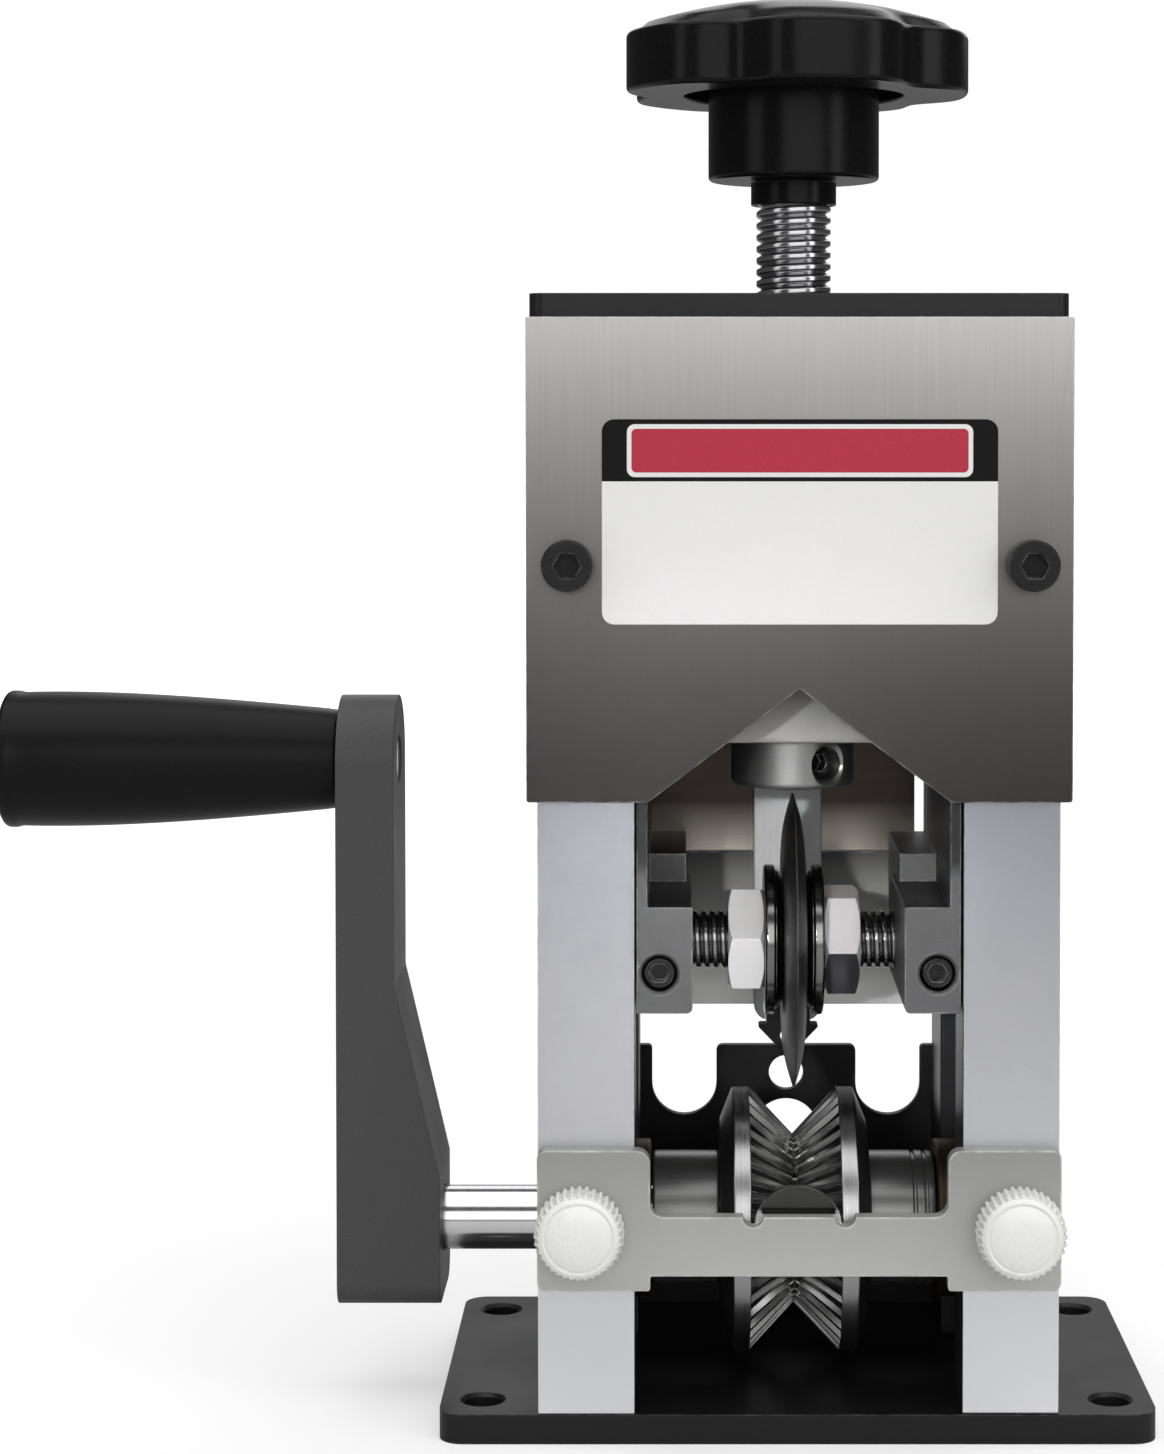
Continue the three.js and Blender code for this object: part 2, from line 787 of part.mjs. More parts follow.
function buildFrame(machine) {
  const frame = groupAt(machine, [0, 0, 0]);
  place(frame, "base_plate", basePlate(), blackPaint);
  place(frame, "top_plate", topPlate(), blackPaint);
  place(frame, "front_shield", frontShield(), brushedSteel);
  place(frame, "front_guide_bar", guideBar(), warmGreyPaint);
  place(frame, "rear_guide_plate", rearGuidePlate(), blackPaint);
  for (const { side, label } of sides) {
    const outward = side > 0 ? facing.right : facing.left;
    place(frame, `${label}_post`, post(side), anodised);
    place(frame, `${label}_bearing`, bearing(), bronze, [side * grooveFloor, axisY, driveZ], outward);
    const shieldScrew = capScrew(boltRadius, boltLength, boltHeadRadius, boltHeadHeight);
    const shieldPlace = [side * shieldScrewX, shieldFront, shieldScrewZ];
    place(frame, `shield_screw_${label}`, shieldScrew, blackOxide, shieldPlace, facing.front);
    const rearPlace = [side * rearScrewX, rearPlateBack, rearScrewZ];
    place(frame, `rear_plate_screw_${label}`, buttonScrew(smallScrewLength), zinc, rearPlace, facing.rear);
    plateScrewRows.forEach((y, row) => {
      const end = row === 0 ? "front" : "rear";
      const below = [side * postMiddle, y, screwGap];
      const above = [side * postMiddle, y, topPlateTop - screwGap];
      place(frame, `base_screw_${label}_${end}`, sinkScrew(), blackOxide, below, facing.down);
      place(frame, `top_screw_${label}_${end}`, sinkScrew(), blackOxide, above);
    });
  }
}

// Thumb knobs on their studs, which hold the front guide bar

function thumbKnob() {
  const knurl = thumbKnobKnurl;
  const far = thumbKnobLength;
  const boreEnd = guideStudLength - guideStudDepth - thumbKnobStart + running;
  const profile = [
    [0, boreEnd],
    [boltHole, boreEnd],
    [boltHole, 0],
    [thumbKnobRadius - 1, 0, knurl],
    [thumbKnobRadius, 0.8, knurl],
    [thumbKnobRadius, far - 2.4, knurl],
    [thumbKnobRadius - 1, far - 1.4],
    [thumbKnobFaceRadius, far - thumbKnobFaceDrop],
    [0, far],
  ];
  return shaped(profile, 2 * thumbKnobRidges, (column) => column % 2);
}

function guideStud() {
  return bar("z", boltRadius, [-guideStudDepth, guideStudLength - guideStudDepth], [0, 0], screwSides);
}

function buildThumbKnobs(machine) {
  for (const { side, label } of sides) {
    const stud = groupAt(machine, [side * guideStudX, postFront, guideStudZ]);
    place(stud, `guide_stud_${label}`, guideStud(), zinc, [0, 0, 0], facing.front);
    const knob = groupAt(stud, [0, -thumbKnobStart, 0]);
    place(knob, `thumb_knob_${label}`, thumbKnob(), whitePlastic, [0, 0, 0], facing.front);
  }
}

// Carriage, which slides in the posts' grooves. Its own frame has its origin on the blade's axis.

function cheek(side) {
  const tongueHalfWidth = grooveWidth / 2 - running;
  const tongueOuter = grooveFloor - running;
  const height = [-cheekDrop, cheekRise];
  const wall = block(sided(side, cheekInner, cheekOuter), [-cheekForward, cheekBackward], height);
  const tongue = block(sided(side, cheekInner, tongueOuter), [-tongueHalfWidth, tongueHalfWidth], height);
  const arm = block(
    sided(side, cheekOuter - armWidth, cheekOuter),
    [-cheekForward, armBackward],
    [-cheekDrop, armRise],
  );
  const rearBlock = block(
    sided(side, cheekOuter - rearBlockWidth, cheekOuter),
    [0, cheekBackward],
    [-cheekDrop, rearBlockRise],
  );
  const setPlace = [side * (cheekOuter - axleSetScrewInset), -axleSetScrewDrop];
  const webPlace = [side * (cheekOuter - webScrewInset), webScrewRise];
  const headHole = boltHeadRadius + screwGap;
  const webHoleStart = cheekBackward - smallScrewLength;
  const tools = [
    bar("x", axleHole, sided(side, 0, tongueOuter + 1)),
    bar("y", setScrewHole, [-cheekForward - 1, 0], setPlace, screwSides),
    bar("y", smallHole, [webHoleStart, cheekBackward + 1], webPlace, screwSides),
    bar("x", boltHole, sided(side, 0, tongueOuter + 1), [0, crossheadMiddle], screwSides),
    bar("x", headHole, sided(side, cheekScrewSeat, tongueOuter + 1), [0, crossheadMiddle]),
  ];
  return cut(join([wall, tongue, arm, rearBlock]), tools);
}

function crosshead() {
  const body = block(
    [-crossheadHalfWidth, crossheadHalfWidth],
    [-crossheadForward, cheekBackward],
    [crossheadBottom, cheekRise],
  );
  const slotHalfWidth = splitterWidth / 2 + seat;
  const slot = block(
    [-slotHalfWidth, slotHalfWidth],
    [splitterFront - seat, cheekBackward + 1],
    [crossheadBottom - 1, splitterTop + seat],
  );
  const screwStart = crossheadHalfWidth - crossheadScrewDepth - 1;
  const plateHoleStart = cheekBackward - smallScrewLength;
  const tools = [slot, bar("z", journalHole, [crossheadBottom - 1, cheekRise + 1])];
  for (const { side } of sides) {
    const screwSpan = sided(side, screwStart, crossheadHalfWidth + 1);
    const platePlace = [side * backPlateScrewOffset, crossheadMiddle];
    tools.push(bar("x", boltHole, screwSpan, [0, crossheadMiddle], screwSides));
    tools.push(bar("y", smallHole, [plateHoleStart, cheekBackward + 1], platePlace, screwSides));
  }
  return cut(body, tools);
}

function rearWeb() {
  const outline = rectangle([-cheekOuter, cheekOuter], [-webDrop, webRise]);
  const span = [webFront - 1, webFront + webThickness + 1];
  const tools = sides.map(({ side }) => {
    return bar("y", smallHole, span, [side * (cheekOuter - webScrewInset), webScrewRise], screwSides);
  });
  return cut(panel(outline, [webFront, webFront + webThickness]), tools);
}

function backPlate() {
  const outline = rectangle([-backPlateHalfWidth, backPlateHalfWidth], [backPlateBottom, cheekRise]);
  const span = [webFront - 1, webFront + backPlateThickness + 1];
  const tools = sides.map(({ side }) => {
    return bar("y", smallHole, span, [side * backPlateScrewOffset, crossheadMiddle], screwSides);
  });
  return cut(panel(outline, [webFront, webFront + backPlateThickness]), tools);
}

function splitterBar() {
  const half = splitterWidth / 2;
  const outline = rounded([
    [-half, -splitterDrop, splitterCorner],
    [half, -splitterDrop, splitterCorner],
    [half, splitterTop],
    [-half, splitterTop],
  ]);
  return panel(outline, [splitterFront, splitterBack]);
}

function splitterWedge() {
  const tabTop = wedgeTabHeight - splitterDrop;
  const outline = rounded([
    [-wedgeTipHalfWidth, -splitterDrop - wedgeHeight],
    [wedgeTipHalfWidth, -splitterDrop - wedgeHeight],
    [wedgeHalfWidth, -splitterDrop],
    [wedgeTabHalfWidth, -splitterDrop],
    [wedgeTabHalfWidth, tabTop, wedgeTabCorner],
    [-wedgeTabHalfWidth, tabTop, wedgeTabCorner],
    [-wedgeTabHalfWidth, -splitterDrop],
    [-wedgeHalfWidth, -splitterDrop],
  ]);
  const back = splitterFront - seat;
  const holePlace = [0, -splitterDrop - wedgeHeight * 0.45];
  const hole = bar("y", wedgeHoleRadius, [back - wedgeThickness - 1, back + 1], holePlace, threadSides);
  return cut(panel(outline, [back - wedgeThickness, back]), [hole]);
}

// The axle along Z: plain where the bush runs, threaded from the nuts out to the cheeks.
function bladeAxle() {
  const threadStart = nutInner + nutThickness - 1;
  const threadEnd = cheekOuter - armWidth + 1;
  const root = axleRadius - axleThreadDepth;
  const rod = bar("z", axleRadius, [-cheekOuter, cheekOuter]);
  const spans = [-1, 1].map((end) => sided(end, threadStart, threadEnd));
  const waisted = cut(rod, spans.map((span) => ring(root / 2, 2 * axleRadius, span)));
  const threads = spans.map(([from, to]) => {
    const helix = thread(axleRadius, root, axlePitch, [from - axlePitch, to + axlePitch]);
    return within(helix, bar("z", axleRadius, [from - axleThreadDepth, to + axleThreadDepth]));
  });
  return join([waisted, ...threads]);
}

function nut(turnDegrees) {
  const corner = nutAcrossFlats / 2 / Math.cos(Math.PI / 6);
  const flat = corner - nutBevelDepth;
  const envelope = turned([
    [0, 0],
    [flat, 0],
    [corner, nutBevelHeight],
    [corner, nutThickness - nutBevelHeight],
    [flat, nutThickness],
    [0, nutThickness],
  ]);
  const turn = THREE.MathUtils.degToRad(turnDegrees);
  const body = within(hexagon(nutAcrossFlats, [0, nutThickness], turn), envelope);
  return cut(body, [bar("z", axleHole, [-1, nutThickness + 1])]);
}

function buildCarriage(machine) {
  const carriage = groupAt(machine, [0, axisY, bladeZ]);
  place(carriage, "crosshead", crosshead(), carriageSteel);
  place(carriage, "rear_web", rearWeb(), paleSteel);
  place(carriage, "back_plate", backPlate(), polishedSteel);
  place(carriage, "splitter_bar", splitterBar(), paleSteel);
  place(carriage, "splitter_wedge", splitterWedge(), blackOxide);
  place(carriage, "blade_axle", bladeAxle(), zinc, [0, 0, 0], facing.right);
  const setFrom = axleHole + running;
  const setTo = cheekForward - setScrewRecess;
  for (const { side, label } of sides) {
    const outward = side > 0 ? facing.right : facing.left;
    const nutTurn = side > 0 ? rightNutTurnDegrees : leftNutTurnDegrees;
    place(carriage, `${label}_cheek`, cheek(side), carriageSteel);
    place(carriage, `axle_nut_${label}`, nut(nutTurn), zinc, [side * nutInner, 0, 0], outward);
    const setPlace = [side * (cheekOuter - axleSetScrewInset), 0, -axleSetScrewDrop];
    const axleScrew = setScrew(setFrom, setTo);
    place(carriage, `axle_set_screw_${label}`, axleScrew, blackOxide, setPlace, facing.front);
    const crossLength = cheekScrewSeat - crossheadHalfWidth + crossheadScrewDepth;
    const crossScrew = capScrew(boltRadius, crossLength, boltHeadRadius, crossheadScrewHeadHeight);
    const crossPlace = [side * cheekScrewSeat, 0, crossheadMiddle];
    place(carriage, `crosshead_screw_${label}`, crossScrew, blackOxide, crossPlace, outward);
    const webPlace = [side * (cheekOuter - webScrewInset), webFront + webThickness, webScrewRise];
    const webScrew = buttonScrew(smallScrewLength);
    place(carriage, `web_screw_${label}`, webScrew, zinc, webPlace, facing.rear);
    const platePlace = [side * backPlateScrewOffset, webFront + backPlateThickness, crossheadMiddle];
    const plateScrew = buttonScrew(smallScrewLength);
    place(carriage, `back_plate_screw_${label}`, plateScrew, zinc, platePlace, facing.rear);
  }
  return carriage;
}

// Blade with its flanges and bush, which turn on the axle. Each is built along Z.

function bladeDisc() {
  const hub = bladeHubWidth / 2;
  const edge = bladeEdgeWidth / 2;
  const profile = [
    [bladeBore, -hub],
    [bladeLandRadius, -hub],
    [bladeRadius, -edge],
    [bladeRadius, edge],
    [bladeLandRadius, hub],
    [bladeBore, hub],
    [bladeBore, -hub],
  ];
  return turned(profile, fineSides);
}

// A flange along Z, from the blade's side outwards: a cone, a step and the full rim.
function bladeFlange() {
  const inner = bladeHubWidth / 2 + stackGap;
  const profile = [
    [bladeBore, inner],
    [flangeStepRadius - flangeConeRise, inner],
    [flangeStepRadius, inner + flangeStepWidth],
    [bladeHubRadius, inner + flangeStepWidth],
    [bladeHubRadius, flangeOuter],
    [bladeBore, flangeOuter],
    [bladeBore, inner],
  ];
  return turned(profile, fineSides);
}

function buildBlade(carriage) {
  const blade = groupAt(carriage, [0, 0, 0]);
  place(blade, "blade", bladeDisc(), blackOxide, [0, 0, 0], facing.right);
  const bushSpan = [-flangeOuter, flangeOuter];
  place(blade, "blade_bush", ring(bushBore, bushRadius, bushSpan), bronze, [0, 0, 0], facing.right);
  for (const { side, label } of sides) {
    const outward = side > 0 ? facing.right : facing.left;
    place(blade, `blade_flange_${label}`, bladeFlange(), blackOxide, [0, 0, 0], outward);
  }
}

// Adjusting screw, collar and star knob, which turn together. The origin is on the crosshead's top.

function adjustingScrew() {
  const root = threadRadius - threadDepth;
  const threadTop = seat + threadLength;
  const bottom = -crossheadThickness - running - collarHeight;
  const envelope = turned([
    [0, seat],
    [root, seat],
    [threadRadius, seat + threadDepth],
    [threadRadius, threadTop + 0.5],
    [0, threadTop + 0.5],
  ]);
  const helix = thread(threadRadius, root, threadPitch, [-threadPitch, threadTop + threadPitch]);
  const journal = bar("z", journalRadius, [bottom, seat + threadPitch]);
  const neck = bar("z", threadRadius, [threadTop, threadTop + screwTopLength]);
  return join([within(helix, envelope), journal, neck]);
}

function collar() {
  const top = -crossheadThickness - running;
  const body = ring(journalHole, collarRadius, [top - collarHeight, top]);
  const hole = bar("y", setScrewHole, [-collarRadius - 1, 0], [0, top - collarHeight / 2], screwSides);
  return cut(body, [hole.rotateZ(THREE.MathUtils.degToRad(collarScrewTurnDegrees))]);
}

function starKnob() {
  const base = seat + threadLength;
  const bore = threadRadius + running;
  const boreTop = screwTopLength + 0.5;
  const hubTop = knobNeckHeight + knobHubHeight;
  const rimBottom = hubTop - knobRecessDepth;
  const rimTop = rimBottom + knobRimHeight;
  const lobe = knobLobeDepth;
  const profile = [
    [0, boreTop],
    [bore, boreTop],
    [bore, 0],
    [knobNeckRadius, 0],
    [knobNeckRadius, knobNeckHeight],
    [knobHubRadius, knobNeckHeight],
    [knobHubRadius, hubTop],
    [knobRecessRadius, hubTop],
    [knobRecessRadius + 1, rimBottom],
    [knobRadius - 3, rimBottom, lobe],
    [knobRadius, rimBottom + knobEdgeRound, lobe],
    [knobRadius, rimTop - knobEdgeRound, lobe],
    [knobRadius - knobEdgeRound, rimTop, lobe],
    [knobRadius * 0.72, rimTop + knobDomeHeight * 0.55],
    [knobRadius * 0.4, rimTop + knobDomeHeight * 0.88],
    [0, rimTop + knobDomeHeight],
  ].map(([radius, height, depth]) => [radius, base + height, depth]);
  const valley = (column) => (0.5 - 0.5 * Math.cos((2 * Math.PI * knobLobes * column) / knobSides)) ** 3;
  return shaped(profile, knobSides, valley, THREE.MathUtils.degToRad(knobLobeTurnDegrees) - quarter);
}

function buildScrew(carriage) {
  const screw = groupAt(carriage, [0, 0, cheekRise]);
  place(screw, "adjusting_screw", adjustingScrew(), polishedSteel);
  place(screw, "retaining_collar", collar(), paleSteel);
  place(screw, "star_knob", starKnob(), glossPlastic);
  const middle = -crossheadThickness - running - collarHeight / 2;
  const turn = [quarter, 0, THREE.MathUtils.degToRad(collarScrewTurnDegrees), "ZYX"];
  const tiltedScrew = setScrew(journalHole + running, collarRadius - setScrewRecess);
  place(screw, "collar_set_screw", tiltedScrew, blackOxide, [0, 0, middle], turn);
}

// Crank, shaft, spacers and feed discs, which turn together. The origin is on the shaft's axis.

// A disc along Z from the middle of the machine outwards, with teeth on its inner cone.
function feedDisc(side) {
  const lean = side * THREE.MathUtils.degToRad(discToothLeanDegrees);
  const tooth = discToothHeight;
  const coneEnd = discHalfGap + discConeWidth;
  const profile = [
    [shaftHole, discHalfGap],
    [discRootRadius, discHalfGap, tooth],
    [discRimRadius, coneEnd, tooth, lean],
    [discRimRadius, coneEnd + tooth, 0, lean],
    [discRimRadius, coneEnd + discRimWidth, 0, lean],
    [discBackRadius, discBack, 0, lean],
    [shaftHole, discBack, 0, lean],
    [shaftHole, discHalfGap],
  ];
  return shaped(profile, 2 * discTeeth, (column) => column % 2);
}

function crankArm() {
  const headInner = crankOuter + crankHeadWidth;
  const top = crankThrow + crankEndRadius;
  const outline = rounded([
    [crankOuter, -crankFootDrop],
    [crankInner, -crankFootDrop],
    [crankInner, crankHubRise],
    [headInner, crankNeckRise],
    [headInner, top],
    [crankOuter, top],
  ]);
  const body = panel(outline, [-crankEndRadius, crankEndRadius]);
  const straight = rectangle(
    [-crankEndRadius, crankEndRadius],
    [-crankFootDrop, crankThrow],
    crankFootCorner,
  );
  const across = [crankOuter - 1, crankInner + 1];
  const face = slab(straight, across).rotateX(quarter).rotateZ(quarter);
  const envelope = join([face, bar("x", crankEndRadius, across, [0, crankThrow], fineSides)]);
  const setX = crankInner - crankShaftDepth / 2;
  const tools = [
    bar("x", shaftHole, [crankInner - crankShaftDepth - running, crankInner + 1]),
    bar("x", spindleRadius + running, across, [0, crankThrow]),
    bar("z", setScrewHole, [-crankFootDrop - 1, 0], [setX, 0], screwSides),
  ];
  return cut(within(body, envelope), tools);
}

function grip() {
  const bore = spindleRadius + running;
  const swell = gripEndRadius - gripNeckRadius;
  const bodyLength = gripLength - gripEndRound;
  const flank = Array.from({ length: gripSteps + 1 }, (unused, step) => {
    const part = step / gripSteps;
    return [gripNeckRadius + swell * Math.sin(part * quarter), bodyLength * part];
  });
  const profile = [
    [0, gripBoreDepth],
    [bore, gripBoreDepth],
    [bore, 0],
    ...flank,
    [gripEndRadius - gripEndRound * 0.3, gripLength - gripEndRound * 0.3],
    [gripEndRadius - gripEndRound, gripLength],
    [0, gripLength],
  ];
  return turned(profile, boreSides);
}

function buildDrive(machine) {
  const drive = groupAt(machine, [0, axisY, driveZ]);
  const shaftSpan = [crankInner - crankShaftDepth, postOuter - shaftEndRecess];
  place(drive, "drive_shaft", bar("x", shaftRadius, shaftSpan), polishedSteel);
  for (const { side, label } of sides) {
    const outward = side > 0 ? facing.right : facing.left;
    place(drive, `feed_disc_${label}`, feedDisc(side), blackOxide, [0, 0, 0], outward);
    const spacer = ring(shaftHole, spacerRadius, [discBack + stackGap, flangeInner - running]);
    place(drive, `${label}_spacer`, spacer, blackOxide, [0, 0, 0], outward);
  }
  place(drive, "crank_arm", crankArm(), crankPaint);
  const setX = crankInner - crankShaftDepth / 2;
  const setLow = shaftRadius + running;
  const crankScrew = setScrew(setLow, crankFootDrop - setScrewRecess);
  place(drive, "crank_set_screw", crankScrew, blackOxide, [setX, 0, 0], facing.down);
  const spindleSpan = [spindleInner - spindleLength, spindleInner];
  place(drive, "grip_spindle", bar("x", spindleRadius, spindleSpan, [0, crankThrow]), polishedSteel);
  const handle = groupAt(drive, [crankOuter - running, 0, crankThrow]);
  place(handle, "grip", grip(), satinPlastic, [0, 0, 0], facing.left);
}

const wireStripper = new THREE.Group();
buildFrame(wireStripper);
buildThumbKnobs(wireStripper);
const carriage = buildCarriage(wireStripper);
buildBlade(carriage);
buildScrew(carriage);
buildDrive(wireStripper);

export default wireStripper;
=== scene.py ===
import math
from functools import partial

import bmesh
import bpy
from mathutils import Matrix, Vector


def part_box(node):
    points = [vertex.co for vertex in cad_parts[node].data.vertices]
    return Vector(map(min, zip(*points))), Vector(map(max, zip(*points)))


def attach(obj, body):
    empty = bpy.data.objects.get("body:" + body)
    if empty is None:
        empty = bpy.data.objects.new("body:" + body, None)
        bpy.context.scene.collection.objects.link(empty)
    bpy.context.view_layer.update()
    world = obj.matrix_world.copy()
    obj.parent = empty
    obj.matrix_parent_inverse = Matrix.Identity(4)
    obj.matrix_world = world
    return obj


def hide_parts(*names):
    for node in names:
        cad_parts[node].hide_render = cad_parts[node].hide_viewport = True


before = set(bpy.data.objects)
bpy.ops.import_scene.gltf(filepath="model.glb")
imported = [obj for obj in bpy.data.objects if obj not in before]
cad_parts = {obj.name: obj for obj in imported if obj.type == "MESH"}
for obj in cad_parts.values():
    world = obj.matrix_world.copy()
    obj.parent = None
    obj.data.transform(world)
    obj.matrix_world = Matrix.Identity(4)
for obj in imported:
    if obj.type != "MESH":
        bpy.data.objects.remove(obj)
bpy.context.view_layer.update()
scene = bpy.context.scene
mm = 0.001  # every size below is in millimetres unless a line says otherwise
weld = 0.002 * mm  # points nearer than this become one
quarter = math.pi / 2
sides = (-1, 1)
hands = {"left": -1, "right": 1}
axisY = -5  # every turning axis lies in this plane
driveAxis = (axisY, 30.5)  # y and z of the feed shaft
bladeAxis = (axisY, 79.5)  # y and z of the blade's axle
screwAxis = (0, axisY)  # x and y of the adjusting screw
print("frame loaded")


# Small tools for building meshes

class sizes(dict):  # one piece's values, read as size.edge
    __getattr__ = dict.__getitem__


def boxOf(node):
    low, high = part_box(node)
    return low / mm, high / mm


def reachOf(node):  # its nearest and furthest x, whichever side it is on
    low, high = boxOf(node)
    return sorted((abs(low.x), abs(high.x)))


def span(side, *ends):
    return sorted(side * end for end in ends)


def flipped(outline):  # the same corners on the other side, in the order that goes on from them
    return [(-x, *rest) for x, *rest in reversed(outline)]


def newObject(name, mesh=None):
    obj = bpy.data.objects.new(name, mesh or bpy.data.meshes.new(name))
    scene.collection.objects.link(obj)
    return obj


def cleaned(obj, flatten=False):
    work = bmesh.new()
    work.from_mesh(obj.data)
    bmesh.ops.remove_doubles(work, verts=work.verts, dist=weld)
    if flatten:
        bmesh.ops.dissolve_limit(work, angle_limit=0.01, verts=work.verts, edges=work.edges)
    bmesh.ops.recalc_face_normals(work, faces=work.faces)
    work.to_mesh(obj.data)
    work.free()
    return obj


def meshObject(name, points, faces):
    mesh = bpy.data.meshes.new(name)
    mesh.from_pydata([Vector(point) * mm for point in points], [], faces)
    return cleaned(newObject(name, mesh))


def lofted(name, rows):  # closed rows of points, each joined to the next, with both ends closed
    count, points = len(rows[0]), [point for row in rows for point in row]
    faces = [list(range(count)), list(range(len(points) - count, len(points)))]
    for first in range(0, len(points) - count, count):
        for i in range(count):
            after = first + (i + 1) % count
            faces.append([first + i, after, after + count, first + i + count])
    return meshObject(name, points, faces)


def spot(axis, a, b, along, at=(0, 0)):
    a, b = a + at[0], b + at[1]
    return {"x": (along, a, b), "y": (a, along, b), "z": (a, b, along)}[axis]


def rounded(corners, steps=6):  # corners are (a, b) or (a, b, radius)
    outline = []
    for number, corner in enumerate(corners):
        here = Vector(corner[:2])
        radius = corner[2] if len(corner) > 2 else 0
        if not radius:
            outline.append(here)
            continue
        back = (Vector(corners[number - 1][:2]) - here).normalized()
        ahead = (Vector(corners[(number + 1) % len(corners)][:2]) - here).normalized()
        half = back.angle(ahead) / 2
        centre = here + (back + ahead).normalized() * (radius / math.sin(half))
        first = here + back * (radius / math.tan(half)) - centre
        last = here + ahead * (radius / math.tan(half)) - centre
        sweep = math.atan2(first.cross(last), first.dot(last))
        outline += [centre + Matrix.Rotation(sweep * step / steps, 2) @ first for step in range(steps + 1)]
    return outline


def rectangle(left, right, low, high, radius=0):
    return rounded([(left, low, radius), (right, low, radius), (right, high, radius), (left, high, radius)])


def prism(name, outline, low, high, axis="z"):
    return lofted(name, [[spot(axis, a, b, level) for a, b in outline] for level in (low, high)])


# profile points are (radius, along); a ring's profile runs round on itself, and side -1 mirrors the piece
def turned(name, profile, axis="z", at=(0, 0), steps=72, ring=False, start=0, side=1):
    points, loops = [], []
    for radius, along in profile:
        if radius < 1e-6:
            loops.append([len(points)] * steps)
            points.append(spot(axis, 0, 0, side * along, at))
            continue
        loops.append(list(range(len(points), len(points) + steps)))
        for step in range(steps):
            turn = start + 2 * math.pi * step / steps
            points.append(spot(axis, radius * math.cos(turn), radius * math.sin(turn), side * along, at))
    faces = []
    for lower, upper in zip(loops, loops[1:] + (loops[:1] if ring else [])):
        for step in range(steps):
            after = (step + 1) % steps
            face = list(dict.fromkeys([lower[step], lower[after], upper[after], upper[step]]))
            if len(face) > 2:
                faces.append(face)
    return meshObject(name, points, faces)


def pin(radius, low, high, axis="z", at=(0, 0), steps=48):  # a plain round tool that cuts a hole
    return turned("pin", [(0, low), (radius, low), (radius, high), (0, high)], axis, at, steps)


def ringOf(name, corners, curve, at, steps=72, side=1):  # a rounded ring about X
    return turned(name, rounded(corners, curve), "x", at, steps, ring=True, side=side)


def hole(radius, node, x, z, steps=48):  # goes through a node from front to back
    low, high = boxOf(node)
    return pin(radius, low.y - 1, high.y + 1, "y", (x, z), steps)


def holePair(radius, node, x, z, steps=48):
    return [hole(radius, node, side * x, z, steps) for side in sides]


def settled(obj):
    graph = bpy.context.evaluated_depsgraph_get()
    made = bpy.data.meshes.new_from_object(obj.evaluated_get(graph), preserve_all_data_layers=True, depsgraph=graph)
    obj.modifiers.clear()
    obj.data = made
    return obj


def combined(obj, tools, operation="DIFFERENCE"):
    for tool in tools:
        step = obj.modifiers.new("step", "BOOLEAN")
        step.operation, step.solver, step.object = operation, "EXACT", tool
    settled(obj)
    for tool in tools:
        bpy.data.objects.remove(tool)
    return cleaned(obj, flatten=True)


def softened(obj, width, segments=3, angle=30):
    edges = obj.modifiers.new("edges", "BEVEL")
    edges.width, edges.segments = width * mm, segments
    edges.limit_method, edges.angle_limit = "ANGLE", math.radians(angle)
    return settled(obj)


def joined(name, objects):
    work = bmesh.new()
    for obj in objects:
        work.from_mesh(obj.data)
        bpy.data.objects.remove(obj)
    whole = newObject(name)
    work.to_mesh(whole.data)
    work.free()
    return whole


def standing(obj, axis, at=(0, 0), offset=0):  # lays a piece made along Z along an axis, or against it for a minus
    count, about = {"z": (0, "Z"), "x": (1, "Y"), "-x": (-1, "Y"), "-y": (1, "X")}[axis]
    place = Vector(spot(axis[-1], *at, offset)) * mm
    obj.data.transform(Matrix.Translation(place) @ Matrix.Rotation(count * quarter, 4, about))
    return obj


# smooth faces with crisp edges, then the finish, the body it rides on and the nodes it stands for
def finished(obj, body, skin, nodes=(), angle=38):
    obj.data.shade_smooth()
    obj.data.set_sharp_from_angle(angle=math.radians(angle))
    flat = obj.modifiers.new("flat faces", "WEIGHTED_NORMAL")
    flat.keep_sharp, flat.weight = True, 80
    settled(obj)
    if skin:
        obj.data.materials.clear()
        obj.data.materials.append(skins[skin])
    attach(obj, body)
    if nodes:
        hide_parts(*nodes)


# Small tools for node trees, of shaders and of geometry alike

def addNode(tree, kind, inputs=(), **settings):  # an input takes a plain value, or the socket that feeds it
    node = tree.nodes.new(kind)
    for name, value in settings.items():
        setattr(node, name, value)
    for socket, value in dict(inputs).items():
        if isinstance(value, bpy.types.NodeSocket):
            tree.links.new(value, node.inputs[socket])
        else:
            node.inputs[socket].default_value = value
    return node


def maths(tree, operation, *values):
    return addNode(tree, "ShaderNodeMath", enumerate(values), operation=operation).outputs[0]


def ranged(tree, value, low, high, to=(0, 1)):
    values = {"Value": value, "From Min": low, "From Max": high, "To Min": to[0], "To Max": to[1]}
    return addNode(tree, "ShaderNodeMapRange", values).outputs[0]


def apart(tree, vector):
    return addNode(tree, "ShaderNodeSeparateXYZ", {0: vector}).outputs


def noiseOf(tree, place, scale, detail):
    return addNode(tree, "ShaderNodeTexNoise", {"Vector": place, "Scale": scale, "Detail": detail}).outputs["Fac"]


# Shader groups that several finishes share

def newGroup(name, outputs, **inputs):
    group = bpy.data.node_groups.new(name, "ShaderNodeTree")
    group.interface.new_socket("Place", in_out="INPUT", socket_type="NodeSocketVector")
    for label, value in inputs.items():
        kind = "NodeSocketVector" if isinstance(value, tuple) else "NodeSocketFloat"
        group.interface.new_socket(label, in_out="INPUT", socket_type=kind).default_value = value
    for label in outputs:
        group.interface.new_socket(label, in_out="OUTPUT", socket_type="NodeSocketFloat")
    return group, group.nodes.new("NodeGroupInput").outputs


